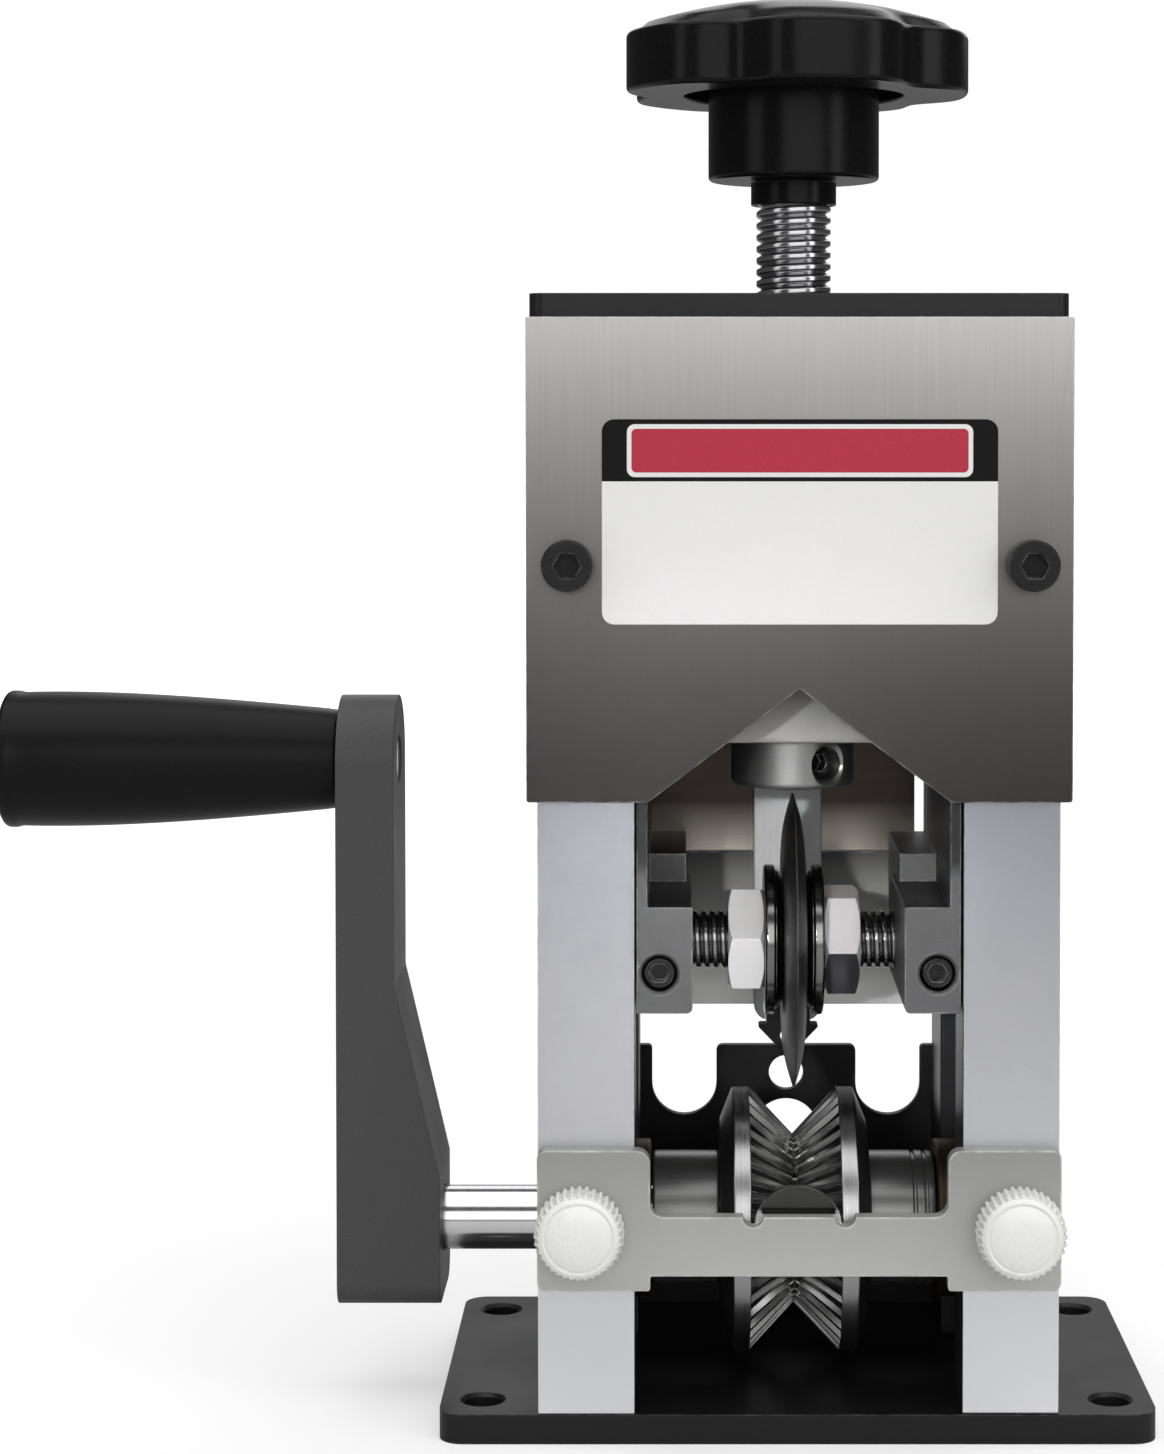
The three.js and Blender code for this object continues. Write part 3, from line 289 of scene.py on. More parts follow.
def grainGroup():  # even speckle of a paint, a moulding or a blasted surface; Size and Patch are in metres
    group, given = newGroup("surface grain", ("Grain", "Patches"), Size=0.0004, Patch=0.02)
    addNode(group, "NodeGroupOutput", {
        target: noiseOf(group, given["Place"], maths(group, "DIVIDE", 1.0, given[source]), detail)
        for source, target, detail in (("Size", "Grain", 3), ("Patch", "Patches", 4))})
    return group


def brushedGroup():  # long fine streaks; Stretch is how many streaks a metre along each axis
    group, given = newGroup("brushed streaks", ("Streaks", "Bands"), Stretch=(4000.0, 4000.0, 40.0))
    stretched = addNode(group, "ShaderNodeVectorMath", {0: given["Place"], 1: given["Stretch"]}, operation="MULTIPLY")
    addNode(group, "NodeGroupOutput", {
        target: noiseOf(group, stretched.outputs[0], scale, detail)
        for target, scale, detail in (("Streaks", 1.0, 5), ("Bands", 0.12, 2))})
    return group


def edgeWearAndHighlightGroup():  # 1 on worn edges, which also carry a painted edge highlight, broken up by a noise; Reach and Break are in metres
    group, given = newGroup("edge wear", ("WearAndHighlight",), Reach=0.0005, Break=0.002)
    soft = addNode(group, "ShaderNodeBevel", {"Radius": given["Reach"]}, samples=4).outputs["Normal"]
    true = addNode(group, "ShaderNodeNewGeometry").outputs["Normal"]
    alike = addNode(group, "ShaderNodeVectorMath", {0: soft, 1: true}, operation="DOT_PRODUCT").outputs["Value"]
    patches = noiseOf(group, given["Place"], maths(group, "DIVIDE", 1.0, given["Break"]), 3)
    wornAndHighlit = maths(group, "MULTIPLY", ranged(group, alike, 0.995, 0.9), ranged(group, patches, 0.35, 0.65))
    addNode(group, "NodeGroupOutput", {"WearAndHighlight": wornAndHighlit})
    return group


groups = {"grain": grainGroup(), "brushed": brushedGroup(), "wearAndHighlight": edgeWearAndHighlightGroup()}
noiseSpan = (0.3, 0.7)  # nearly all of a noise's values lie between these
patchSize = 18
brighter = 1.15  # how far the second tone of a painted fade's top is above the first


def paint(tone):  # a number is a grey and three numbers are a colour; a socket stays one
    if isinstance(tone, float):
        tone = (tone,) * 3
    return (*tone, 1) if isinstance(tone, tuple) else tone


# one finish: two colours mixed by grain or streaks, painted shade and reflection by height or facing where asked,
# roughness that varies with them, a fine bump and worn edges that also carry a painted highlight
def surface(name, colour, second, rough, metal=0, specular=0.5, coat=0, coatRough=0.1, grainSize=0.3, brush=None,
            fade=None, high=None, paintedShadeAbove=None, paintedFacingShade=None, wearAndHighlight=None, bump=0.2, bumpHeight=0.02):
    material = bpy.data.materials.new(name)
    material.use_nodes = True
    tree = material.node_tree
    calc = partial(maths, tree)
    place = addNode(tree, "ShaderNodeTexCoord").outputs["Object"]

    def placed(kind, **values):
        return addNode(tree, "ShaderNodeGroup", {"Place": place, **values}, node_tree=groups[kind]).outputs

    def mixed(share, first, second):
        values = {"Factor": share, 6: paint(first), 7: paint(second)}
        return addNode(tree, "ShaderNodeMix", values, data_type="RGBA").outputs[2]

    def heightIn(low, top):
        return ranged(tree, apart(tree, place)["Z"], low * mm, top * mm)

    grain = placed("grain", Size=grainSize * mm, Patch=patchSize * mm)
    fine, broad = grain["Grain"], grain["Patches"]
    if brush:
        streaks = placed("brushed", Stretch=brush)
        fine, broad = streaks["Streaks"], calc("MULTIPLY", calc("ADD", broad, streaks["Bands"]), 0.5)
    speckle = ranged(tree, fine, *noiseSpan)
    tone = mixed(speckle, colour, second)
    if fade:  # painted shade and reflection: a slow change of tone from one height to another
        low, top, foot, curve = fade
        above = mixed(speckle, high, tuple(brighter * part for part in high)) if high else tone
        tone = mixed(calc("POWER", heightIn(low, top), curve), foot, above)
    if paintedShadeAbove:  # painted shade: darker above a height, where the metal has no light to mirror
        tone = mixed(heightIn(*paintedShadeAbove[:2]), tone, paintedShadeAbove[2])
    if paintedFacingShade:  # painted reflection and shade: faces turned up or down are darkened as if they mirrored dark neighbours
        normal = addNode(tree, "ShaderNodeNewGeometry").outputs["Normal"]
        tone = mixed(ranged(tree, apart(tree, normal)["Z"], *paintedFacingShade[:2]), tone, paintedFacingShade[2])
    # edges lightened, partly as wear and partly as a painted edge highlight
    if wearAndHighlight:
        amount, bright, reach = wearAndHighlight
        tone = mixed(calc("MULTIPLY", placed("wearAndHighlight", Reach=reach * mm)["WearAndHighlight"], amount), tone, bright)
    wobble = calc("ADD", calc("MULTIPLY", broad, 0.7), calc("MULTIPLY", fine, 0.3))
    relief = addNode(tree, "ShaderNodeBump", {"Strength": bump, "Distance": bumpHeight * mm, "Height": fine})
    shader = tree.nodes["Principled BSDF"].inputs
    tree.links.new(tone, shader["Base Color"])
    tree.links.new(ranged(tree, wobble, *noiseSpan, rough), shader["Roughness"])
    tree.links.new(relief.outputs["Normal"], shader["Normal"])
    shader["Metallic"].default_value = metal
    shader["Specular IOR Level"].default_value = specular
    shader["Coat Weight"].default_value = coat
    shader["Coat Roughness"].default_value = coatRough
    return material


upright = (5200, 5200, 38)  # streaks along Z, in streaks a metre
fineUpright = (7600, 7600, 30)
crosswise = (38, 5200, 5200)  # streaks along X
lengthwise = (5200, 38, 38)  # rings about X
roundStreaks = (60, 60, 5200)  # rings about Z
# fade, painted shade and reflection, is (from, to, tone at the foot, curve) and high its tone at the top;
# paintedShadeAbove and paintedFacingShade, painted shade by height and by facing, are (from, to, tone);
# wearAndHighlight, worn edges with a painted highlight, is (amount, tone, reach); heights, reach and grainSize are in
# mm
finishes = {
    "blackPaint": dict(colour=(0.007, 0.007, 0.008), second=(0.011, 0.011, 0.012), rough=(0.32, 0.44), specular=0.3,
        grainSize=0.35, bump=0.3, bumpHeight=0.03, wearAndHighlight=(0.45, (0.16, 0.16, 0.165), 0.45)),
    # painted reflection: near white at the posts' foot, darker towards the top
    "postAluminium": dict(colour=(0.78, 0.79, 0.83), second=(0.84, 0.85, 0.89), rough=(0.34, 0.42), metal=1,
        grainSize=0.15, bump=0.1, wearAndHighlight=(0.8, (0.98, 0.98, 0.99), 0.4), fade=(6, 112, (0.98, 0.985, 1.0), 0.75),
        high=(0.28, 0.29, 0.315)),
    # painted shade: a dark finish for the posts' inward faces and groove, which lie in shade
    "postInsideShade": dict(colour=(0.055, 0.056, 0.06), second=(0.075, 0.076, 0.08), rough=(0.3, 0.4), metal=0.8,
        brush=upright, bump=0.1, wearAndHighlight=(0.6, (0.55, 0.56, 0.58), 0.3)),
    # painted reflection and shade: the sheet grows dark towards its foot
    "shieldSteel": dict(colour=(0.43, 0.42, 0.406), second=(0.49, 0.479, 0.467), rough=(0.29, 0.35), metal=1,
        brush=fineUpright, bump=0.5, bumpHeight=0.01, wearAndHighlight=(0.7, (0.95, 0.94, 0.92), 0.3),
        fade=(104, 188, (0.055, 0.053, 0.051), 1.75)),
    # painted reflection and shade: lighter at the foot, darker towards the top
    "guideGrey": dict(colour=(0.44, 0.44, 0.425), second=(0.48, 0.48, 0.465), rough=(0.34, 0.44), metal=0.3,
        grainSize=0.25, wearAndHighlight=(1.0, (0.95, 0.95, 0.93), 0.45), fade=(30, 52, (0.48, 0.48, 0.465), 1.0),
        high=(0.27, 0.27, 0.26)),
    # painted shade: darker above the cheek blocks' top and on faces turned up
    "carriageSteel": dict(colour=(0.105, 0.105, 0.107), second=(0.14, 0.14, 0.142), rough=(0.38, 0.5), metal=0.7,
        grainSize=0.22, bump=0.25, wearAndHighlight=(0.85, 0.7, 0.35), paintedShadeAbove=(94.5, 97, (0.03, 0.03, 0.031)),
        paintedFacingShade=(0.5, 0.9, 0.018)),
    # painted shadow: the crosshead darkens towards its top, under the shield's notch
    "headSteel": dict(colour=(0.28, 0.275, 0.265), second=(0.33, 0.325, 0.315), rough=(0.36, 0.46), metal=0.8,
        grainSize=0.2, wearAndHighlight=(0.8, (0.8, 0.79, 0.77), 0.35), paintedShadeAbove=(117, 127.5, (0.07, 0.068, 0.065))),
    "collarSteel": dict(colour=(0.26, 0.26, 0.256), second=(0.32, 0.32, 0.315), rough=(0.3, 0.4), metal=0.9,
        brush=roundStreaks, bump=0.1, wearAndHighlight=(0.6, (0.9, 0.9, 0.89), 0.3)),
    # painted shade: the rear web is light at its foot and dark towards its top
    "paleSteel": dict(colour=(0.55, 0.545, 0.53), second=(0.62, 0.615, 0.6), rough=(0.34, 0.46), metal=0.7,
        grainSize=0.2, bump=0.15, wearAndHighlight=(0.8, (0.9, 0.9, 0.89), 0.3), fade=(66, 91, (0.88, 0.875, 0.86), 0.85),
        high=(0.045, 0.044, 0.042)),
    "barSteel": dict(colour=(0.7, 0.7, 0.72), second=(0.76, 0.76, 0.78), rough=(0.3, 0.42), metal=0.05, brush=upright,
        bump=0.1, wearAndHighlight=(0.5, (0.85, 0.85, 0.87), 0.3)),
    # painted reflection: a bright band along the plate's foot, dark above it
    "mirrorPlate": dict(colour=(0.1, 0.085, 0.075), second=(0.14, 0.12, 0.105), rough=(0.16, 0.28), metal=1,
        brush=crosswise, bump=0.08, wearAndHighlight=(0.4, (0.8, 0.78, 0.75), 0.3), fade=(91, 100, (0.66, 0.6, 0.53), 0.5),
        high=(0.042, 0.034, 0.03)),
    "brightSteel": dict(colour=(0.7, 0.7, 0.71), second=(0.76, 0.76, 0.77), rough=(0.12, 0.18), metal=1,
        brush=lengthwise, bump=0.08),
    "screwSteel": dict(colour=(0.42, 0.42, 0.43), second=(0.5, 0.5, 0.51), rough=(0.14, 0.24), metal=1, grainSize=0.4,
        bump=0.0),
    "rimSteel": dict(colour=0.38, second=0.46, rough=(0.24, 0.34), metal=1, brush=lengthwise, bump=0.12),
    "zinc": dict(colour=0.93, second=0.97, rough=(0.14, 0.2), metal=0.4, grainSize=0.4, bump=0.1,
        wearAndHighlight=(0.8, 1.0, 0.3)),
    # painted reflection: facets turned down are darkened as if mirroring dark parts below
    "nutZinc": dict(colour=(0.94, 0.925, 0.94), second=(0.97, 0.955, 0.97), rough=(0.12, 0.18), metal=0.3,
        grainSize=0.4, bump=0.06, paintedFacingShade=(-0.42, -0.52, (0.055, 0.055, 0.06)), wearAndHighlight=(0.8, 1.0, 0.3)),
    "threadSteel": dict(colour=0.3, second=0.38, rough=(0.14, 0.24), metal=1, grainSize=0.4, bump=0.0),
    "blackOxide": dict(colour=0.009, second=0.015, rough=(0.22, 0.32), specular=0.2, grainSize=0.25,
        wearAndHighlight=(0.8, 0.34, 0.28)),
    "socketBlack": dict(colour=0.01, second=0.016, rough=(0.22, 0.32), metal=0.5, grainSize=0.25, bump=0.15,
        wearAndHighlight=(1.0, (0.75, 0.75, 0.74), 0.22)),
    "lipSteel": dict(colour=(0.045, 0.044, 0.042), second=(0.065, 0.064, 0.062), rough=(0.3, 0.4), metal=0.7,
        grainSize=0.25, bump=0.15, wearAndHighlight=(0.9, (0.35, 0.35, 0.34), 0.2)),
    "spacerBlack": dict(colour=(0.2, 0.2, 0.197), second=(0.26, 0.26, 0.256), rough=(0.26, 0.36), metal=0.8,
        brush=roundStreaks, bump=0.1, wearAndHighlight=(0.6, (0.34, 0.34, 0.33), 0.25)),
    "flangeBlack": dict(colour=(0.17, 0.17, 0.166), second=(0.24, 0.24, 0.235), rough=(0.14, 0.22), metal=1,
        brush=lengthwise, bump=0.08, wearAndHighlight=(0.8, (0.8, 0.8, 0.79), 0.25)),
    "toothBlack": dict(colour=0.01, second=0.016, rough=(0.24, 0.36), metal=0.6, grainSize=0.25, bump=0.15,
        wearAndHighlight=(0.95, (0.55, 0.55, 0.54), 0.16)),
    "toothSteel": dict(colour=(0.36, 0.358, 0.354), second=(0.44, 0.437, 0.432), rough=(0.18, 0.28), metal=1,
        grainSize=0.25, bump=0.12, wearAndHighlight=(0.95, (0.8, 0.8, 0.79), 0.14)),
    "discSide": dict(colour=0.05, second=(0.075, 0.075, 0.074), rough=(0.28, 0.38), metal=0.8, brush=lengthwise,
        bump=0.1, wearAndHighlight=(0.6, 0.4, 0.25)),
    "bladeBlack": dict(colour=0.014, second=0.022, rough=(0.3, 0.4), specular=0.3, brush=lengthwise, bump=0.06,
        wearAndHighlight=(0.5, (0.16, 0.16, 0.155), 0.15)),
    "bronze": dict(colour=(0.055, 0.042, 0.026), second=(0.085, 0.064, 0.038), rough=(0.4, 0.5), metal=0.8),
    "crankPaint": dict(colour=(0.048, 0.048, 0.049), second=(0.068, 0.068, 0.069), rough=(0.42, 0.54), specular=0.35,
        bump=0.45, bumpHeight=0.03, wearAndHighlight=(0.3, 0.12, 0.35)),
    "knobPlastic": dict(colour=0.004, second=0.007, rough=(0.2, 0.3), specular=0.12, grainSize=0.6, bump=0.1,
        wearAndHighlight=(0.25, 0.06, 0.4)),
    "gripPlastic": dict(colour=0.004, second=0.007, rough=(0.32, 0.42), specular=0.13, grainSize=0.35, bump=0.22),
    "whitePlastic": dict(colour=(0.82, 0.82, 0.795), second=(0.85, 0.85, 0.825), rough=(0.24, 0.34), grainSize=0.5,
        bump=0.02, coat=0.3, coatRough=0.15),
    "labelWhite": dict(colour=(0.76, 0.755, 0.745), second=(0.8, 0.795, 0.785), rough=(0.34, 0.46), bump=0.08),
    "labelBlack": dict(colour=(0.006, 0.0055, 0.0055), second=(0.01, 0.0095, 0.0095), rough=(0.34, 0.46),
        specular=0.08, bump=0.08),
    "labelRed": dict(colour=(0.42, 0.018, 0.045), second=(0.47, 0.024, 0.054), rough=(0.34, 0.46), specular=0.3,
        bump=0.08),
}
skins = {name: surface(name, **look) for name, look in finishes.items()}
print("finishes made")


# Geometry node trees for what repeats or follows a rule

def newTree(name, **inputs):
    tree = bpy.data.node_groups.new(name, "GeometryNodeTree")
    for label, kind in {"Geometry": "Geometry", **inputs, "Finish": "Material"}.items():
        tree.interface.new_socket(label, in_out="INPUT", socket_type=f"NodeSocket{kind}")
    tree.interface.new_socket("Geometry", in_out="OUTPUT", socket_type="NodeSocketGeometry")
    return tree, tree.nodes.new("NodeGroupInput").outputs


def ended(tree, given, shape):  # every tree ends in real geometry with its finish on it
    real = addNode(tree, "GeometryNodeRealizeInstances", {"Geometry": shape}).outputs[0]
    skin = addNode(tree, "GeometryNodeSetMaterial", {"Geometry": real, "Material": given["Finish"]})
    addNode(tree, "NodeGroupOutput", {"Geometry": skin.outputs[0]})
    return tree


def copiesOf(tree, points, piece, turn):
    source = addNode(tree, "GeometryNodeObjectInfo", {"Object": piece}).outputs["Geometry"]
    values = {"Points": points, "Instance": source, "Rotation": turn}
    return addNode(tree, "GeometryNodeInstanceOnPoints", values).outputs["Instances"]


def seatedTree():  # a fastener on each point, turned as the point's own attribute says
    tree, given = newTree("seated fasteners", Fastener="Object")
    turn = addNode(tree, "GeometryNodeInputNamedAttribute", {"Name": "turn"}, data_type="FLOAT_VECTOR")
    return ended(tree, given, copiesOf(tree, given["Geometry"], given["Fastener"], turn.outputs["Attribute"]))


def roundTree():  # copies of a piece in even turns about Z
    tree, given = newTree("round row", Piece="Object", Count="Int")
    line = addNode(tree, "GeometryNodeMeshLine", {"Offset": (0, 0, 0), "Count": given["Count"]})
    share = maths(tree, "DIVIDE", addNode(tree, "GeometryNodeInputIndex").outputs[0], given["Count"])
    turn = addNode(tree, "ShaderNodeCombineXYZ", {"Z": maths(tree, "MULTIPLY", share, 2 * math.pi)})
    return ended(tree, given, copiesOf(tree, line.outputs["Mesh"], given["Piece"], turn.outputs[0]))


thread = sizes(columns=56, rows=12, flank=(0.38, 0.98), nudge=0.0005, edge=0.49999)  # flank in shares of half a pitch


def threadTree(size):  # a rod along Z: a sheared grid wound round, so that the ridge follows its rows
    tree, given = newTree("threaded rod", Radius="Float", Depth="Float", Pitch="Float", Turns="Int")
    calc = partial(maths, tree)
    windings = calc("ADD", given["Turns"], 1)
    levels = calc("ADD", calc("MULTIPLY", windings, size.rows), 1)
    counts = {"Vertices X": size.columns + 1, "Vertices Y": levels}
    grid = addNode(tree, "GeometryNodeMeshGrid", {"Size X": 1, "Size Y": 1, **counts})
    where = apart(tree, addNode(tree, "GeometryNodeInputPosition").outputs[0])
    around = calc("ADD", where["X"], 0.5)
    wound = calc("MULTIPLY", calc("ADD", where["Y"], 0.5), windings)
    level = calc("MULTIPLY", calc("SUBTRACT", calc("ADD", wound, around), 1), given["Pitch"])
    length = calc("MULTIPLY", given["Turns"], given["Pitch"])
    height = calc("MINIMUM", calc("MAXIMUM", level, 0), length)
    phase = calc("FRACT", calc("ADD", wound, size.nudge))
    wave = calc("ABSOLUTE", calc("SUBTRACT", calc("MULTIPLY", phase, 2), 1))
    crest, root = size.flank
    ridge = addNode(tree, "ShaderNodeMapRange", {"Value": wave, "From Min": crest, "From Max": root},
                    interpolation_type="SMOOTHSTEP")
    reach = calc("SUBTRACT", given["Radius"], calc("MULTIPLY", ridge.outputs[0], given["Depth"]))
    fromEnd = calc("MINIMUM", height, calc("SUBTRACT", length, height))
    leadIn = calc("ADD", calc("SUBTRACT", given["Radius"], given["Depth"]), fromEnd)
    inside = calc("LESS_THAN", calc("ABSOLUTE", where["Y"]), size.edge)  # the end rows close the rod
    reach = calc("MULTIPLY", calc("MINIMUM", reach, leadIn), inside)
    angle = calc("MULTIPLY", around, 2 * math.pi)
    place = addNode(tree, "ShaderNodeCombineXYZ", {
        "X": calc("MULTIPLY", reach, calc("COSINE", angle)),
        "Y": calc("MULTIPLY", reach, calc("SINE", angle)), "Z": height})
    rod = addNode(tree, "GeometryNodeSetPosition", {"Geometry": grid.outputs["Mesh"], "Position": place.outputs[0]})
    closed = addNode(tree, "GeometryNodeMergeByDistance", {"Geometry": rod.outputs["Geometry"], "Distance": weld})
    return ended(tree, given, closed.outputs["Geometry"])


def lobeTree():  # draws a turned wheel in between its lobes, by each point's own depth
    tree, given = newTree("wheel lobes", Lobes="Int", Turn="Float")
    calc = partial(maths, tree)
    where = apart(tree, addNode(tree, "GeometryNodeInputPosition").outputs[0])
    angle = calc("SUBTRACT", calc("ARCTAN2", where["Y"], where["X"]), given["Turn"])
    swing = calc("COSINE", calc("MULTIPLY", angle, given["Lobes"]))
    valley = calc("POWER", calc("MULTIPLY_ADD", swing, -0.5, 0.5), 3)
    depth = addNode(tree, "GeometryNodeInputNamedAttribute", {"Name": "depth"}).outputs["Attribute"]
    square = [calc("MULTIPLY", where[axis], where[axis]) for axis in "XY"]
    radius = calc("MAXIMUM", calc("SQRT", calc("ADD", *square)), 1e-6)
    kept = calc("SUBTRACT", 1, calc("DIVIDE", calc("MULTIPLY", valley, depth), radius))
    place = addNode(tree, "ShaderNodeCombineXYZ", {
        "X": calc("MULTIPLY", where["X"], kept), "Y": calc("MULTIPLY", where["Y"], kept), "Z": where["Z"]})
    drawn = addNode(tree, "GeometryNodeSetPosition", {"Geometry": given["Geometry"], "Position": place.outputs[0]})
    return ended(tree, given, drawn.outputs["Geometry"])


seated, roundRow, threadedRod, wheelLobes = seatedTree(), roundTree(), threadTree(thread), lobeTree()
print("node trees made")


def grown(obj, tree, skin, **values):  # runs a tree on an object and keeps the result as a plain mesh
    step = obj.modifiers.new(tree.name, "NODES")
    step.node_group = tree
    values["Finish"] = skins[skin]
    for item in tree.interface.items_tree:
        if item.in_out == "INPUT" and item.name in values:
            step[item.identifier] = values[item.name]
    return settled(obj)


def roundOf(piece, count, skin):
    row = grown(newObject("row"), roundRow, skin, Piece=piece, Count=count)
    bpy.data.objects.remove(piece)
    return row


def threadPiece(size, skin):
    lengths = {name.capitalize(): size[name] * mm for name in ("radius", "depth", "pitch")}
    return cleaned(grown(newObject("threads"), threadedRod, skin, Turns=size.turns, **lengths))


# Fasteners: each stands along Z with its head up, and 0 is where the head bears

screwEdge = 0.12
boltHole = 2.8  # radius of a hole for the wider screws
smallHole = sizes(radius=2.3, depth=9)  # for the button screws
screws = {
    "cap": sizes(head=4.25, height=4.98, shank=2.5, length=16, edge=0.45, flats=4, socket=2.6),
    "cross": sizes(head=4.25, height=3.98, shank=2.5, length=12, edge=0.45, flats=4, socket=2.2),
    "button": sizes(head=3.6, height=1.88, rim=0.45, shank=2, length=8.9, flats=2.5, socket=1.2),
    "sunk": sizes(head=4.9, cone=2.4, shank=2.5, length=13.9, flats=3, socket=1.6),
    "set": sizes(radius=2.66, point=0.8, flats=2.9, socket=1.9),
}


def socketScrew(profile, size, top):
    across, floor = size.flats / math.sqrt(3), top - size.socket
    hexagon = turned("hexagon", [(0, floor), (across, floor), (across, top + 1), (0, top + 1)], steps=6)
    return softened(combined(turned("screw", profile, steps=36), [hexagon]), screwEdge, 2, 40)


def shankOf(size, top):
    return [(0, -size.length), (size.shank, -size.length), (size.shank, top)]


def capScrew(size):
    foot, head, height = 0.02, size.head, size.height
    outline = rounded([(size.shank, foot), (head, foot, 0.15), (head, height, size.edge), (0, height)], 4)
    return socketScrew(shankOf(size, foot) + outline[1:], size, height)


def buttonScrew(size):
    foot, head, rise = 0.02, size.head, size.height - size.rim
    dome = [(head * math.cos(t), size.rim + rise * math.sin(t)) for t in (0, 0.25, 0.5, 0.75, 1.0, 1.2)]
    return socketScrew(shankOf(size, foot) + [(head, foot)] + dome + [(0, size.height)], size, size.height)


def sunkScrew(size):
    return socketScrew(shankOf(size, -size.cone) + [(size.head - 0.1, -0.1), (size.head - 0.25, 0), (0, 0)], size, 0)


def setScrew(size, length):
    radius, point = size.radius, size.point
    profile = [(0, -length), (radius - point, -length), (radius, point - length), (radius, -0.35),
               (radius - 0.3, 0), (0, 0)]
    return socketScrew(profile, size, 0)


def smallSocket(back, x, z):  # the blind hole for a button screw that comes in from behind
    return pin(smallHole.radius, back - smallHole.depth, back + 1, "y", (x, z), 24)


faces = {"up": (0, 0, 0), "down": (math.pi, 0, 0), "front": (quarter, 0, 0), "rear": (-quarter, 0, 0),
         "right": (0, quarter, 0), "left": (0, -quarter, 0)}


def seatPair(x, y, z, face):
    return [((side * x, y, z), faces[face]) for side in sides]


def screwRow(stem, fastener, seats, body, skin, nodes=None):  # seats are (place, euler turn)
    row = newObject(f"{stem}s")
    row.data.from_pydata([Vector(place) * mm for place, turn in seats], [], [])
    turns = row.data.attributes.new("turn", "FLOAT_VECTOR", "POINT")
    turns.data.foreach_set("vector", [angle for place, turn in seats for angle in turn])
    grown(row, seated, skin, Fastener=fastener)
    bpy.data.objects.remove(fastener)
    finished(row, body, skin, nodes or [f"{stem}_{hand}" for hand in hands])


# Base plate, top plate and rear guide plate, in black paint

plateScrew = sizes(x=35.25, y=(-27, 20), sink=5.2, under=0.3)


def sinkTool(x, y, top, mouth, hole, down=1, depth=20):  # a countersunk hole downwards, or upwards for down -1
    profile = [(0, top + down), (mouth, top + down), (mouth, top), (hole, top - down * (mouth - hole)),
               (hole, top - down * depth), (0, top - down * depth)]
    return turned("sink", profile, "z", (x, y), 40)


def screwSinks(size, side, top, down=1):
    return [sinkTool(side * size.x, y, top, size.sink, boltHole, down) for y in size.y]


def plateScrews(size, stem, z, face):
    seats = [((side * size.x, y, z), faces[face]) for side in sides for y in size.y]
    names = [f"{stem}_{hand}_{end}" for hand in hands for end in ("front", "rear")]
    screwRow(stem, sunkScrew(screws["sunk"]), seats, "frame", "blackOxide", names)


basePlate = sizes(edge=0.55, corner=4, hole=3.3, holeSink=3.9, holeX=53, holeY=26)


def makeBase(size):
    low, high = boxOf("base_plate")
    plate = prism("base_plate_black", rectangle(low.x, high.x, low.y, high.y, size.corner), low.z, high.z)
    tools = []
    for side in sides:
        tools += [sinkTool(side * size.holeX, end * size.holeY, high.z, size.holeSink, size.hole) for end in sides]
        tools += screwSinks(plateScrew, side, low.z, -1)
    softened(combined(plate, tools), size.edge)
    finished(plate, "frame", "blackPaint", ["base_plate"])
    plateScrews(plateScrew, "base_screw", low.z + plateScrew.under, "down")


topPlate = sizes(edge=0.7, corner=2.5, hole=6.75)


def makeTop(size):
    low, high = boxOf("top_plate")
    plate = prism("top_plate_black", rectangle(low.x, high.x, low.y, high.y, size.corner), low.z, high.z)
    tools = [pin(size.hole, low.z - 1, high.z + 1, "z", screwAxis)]
    for side in sides:
        tools += screwSinks(plateScrew, side, high.z)
    softened(combined(plate, tools), size.edge)
    finished(plate, "frame", "blackPaint", ["top_plate"])
    plateScrews(plateScrew, "top_screw", high.z - plateScrew.under, "up")


rearPlate = sizes(edge=0.35, corner=1.5, notch=(13, 25), notchDepth=13.1, upper=(3.2, 5.2), lower=(6, 16.1),
                  screw=(33.5, 30.02))  # upper and lower are the middle holes' radius and drop


def makeRearPlate(size):
    node = "rear_guide_plate"
    low, high = boxOf(node)
    inner, outer = size.notch
    floor, bend = high.z - size.notchDepth, (outer - inner) / 2 - 0.01
    notch = [(outer, high.z, 0.8), (outer, floor, bend), (inner, floor, bend), (inner, high.z, 1.2)]
    outline = [(low.x, low.z), (high.x, low.z), (high.x, high.z, size.corner), *notch, *flipped(notch),
               (low.x, high.z, size.corner)]
    plate = prism("rear_guide_plate_black", rounded(outline, 9), low.y, high.y, "y")
    tools = [hole(radius, node, 0, high.z - drop) for radius, drop in (size.upper, size.lower)]
    softened(combined(plate, tools + holePair(smallHole.radius, node, *size.screw)), size.edge)
    finished(plate, "frame", "blackPaint", [node])
    x, z = size.screw
    screwRow("rear_plate_screw", buttonScrew(screws["button"]), seatPair(x, high.y, z, "rear"), "frame", "zinc")


makeBase(basePlate)
makeTop(topPlate)
makeRearPlate(rearPlate)
print("black plates made")


# Posts, bearings, front shield with its screws and label, front guide bar

shieldScrew, studPlace = (38.1, 146.6), (36.2, 37.1)  # x and z
post = sizes(edge=0.5, groove=(-20, 10), grooveFloor=32.2, bearing=10.3, boltDepth=18, studDepth=12.5, outerWall=8)


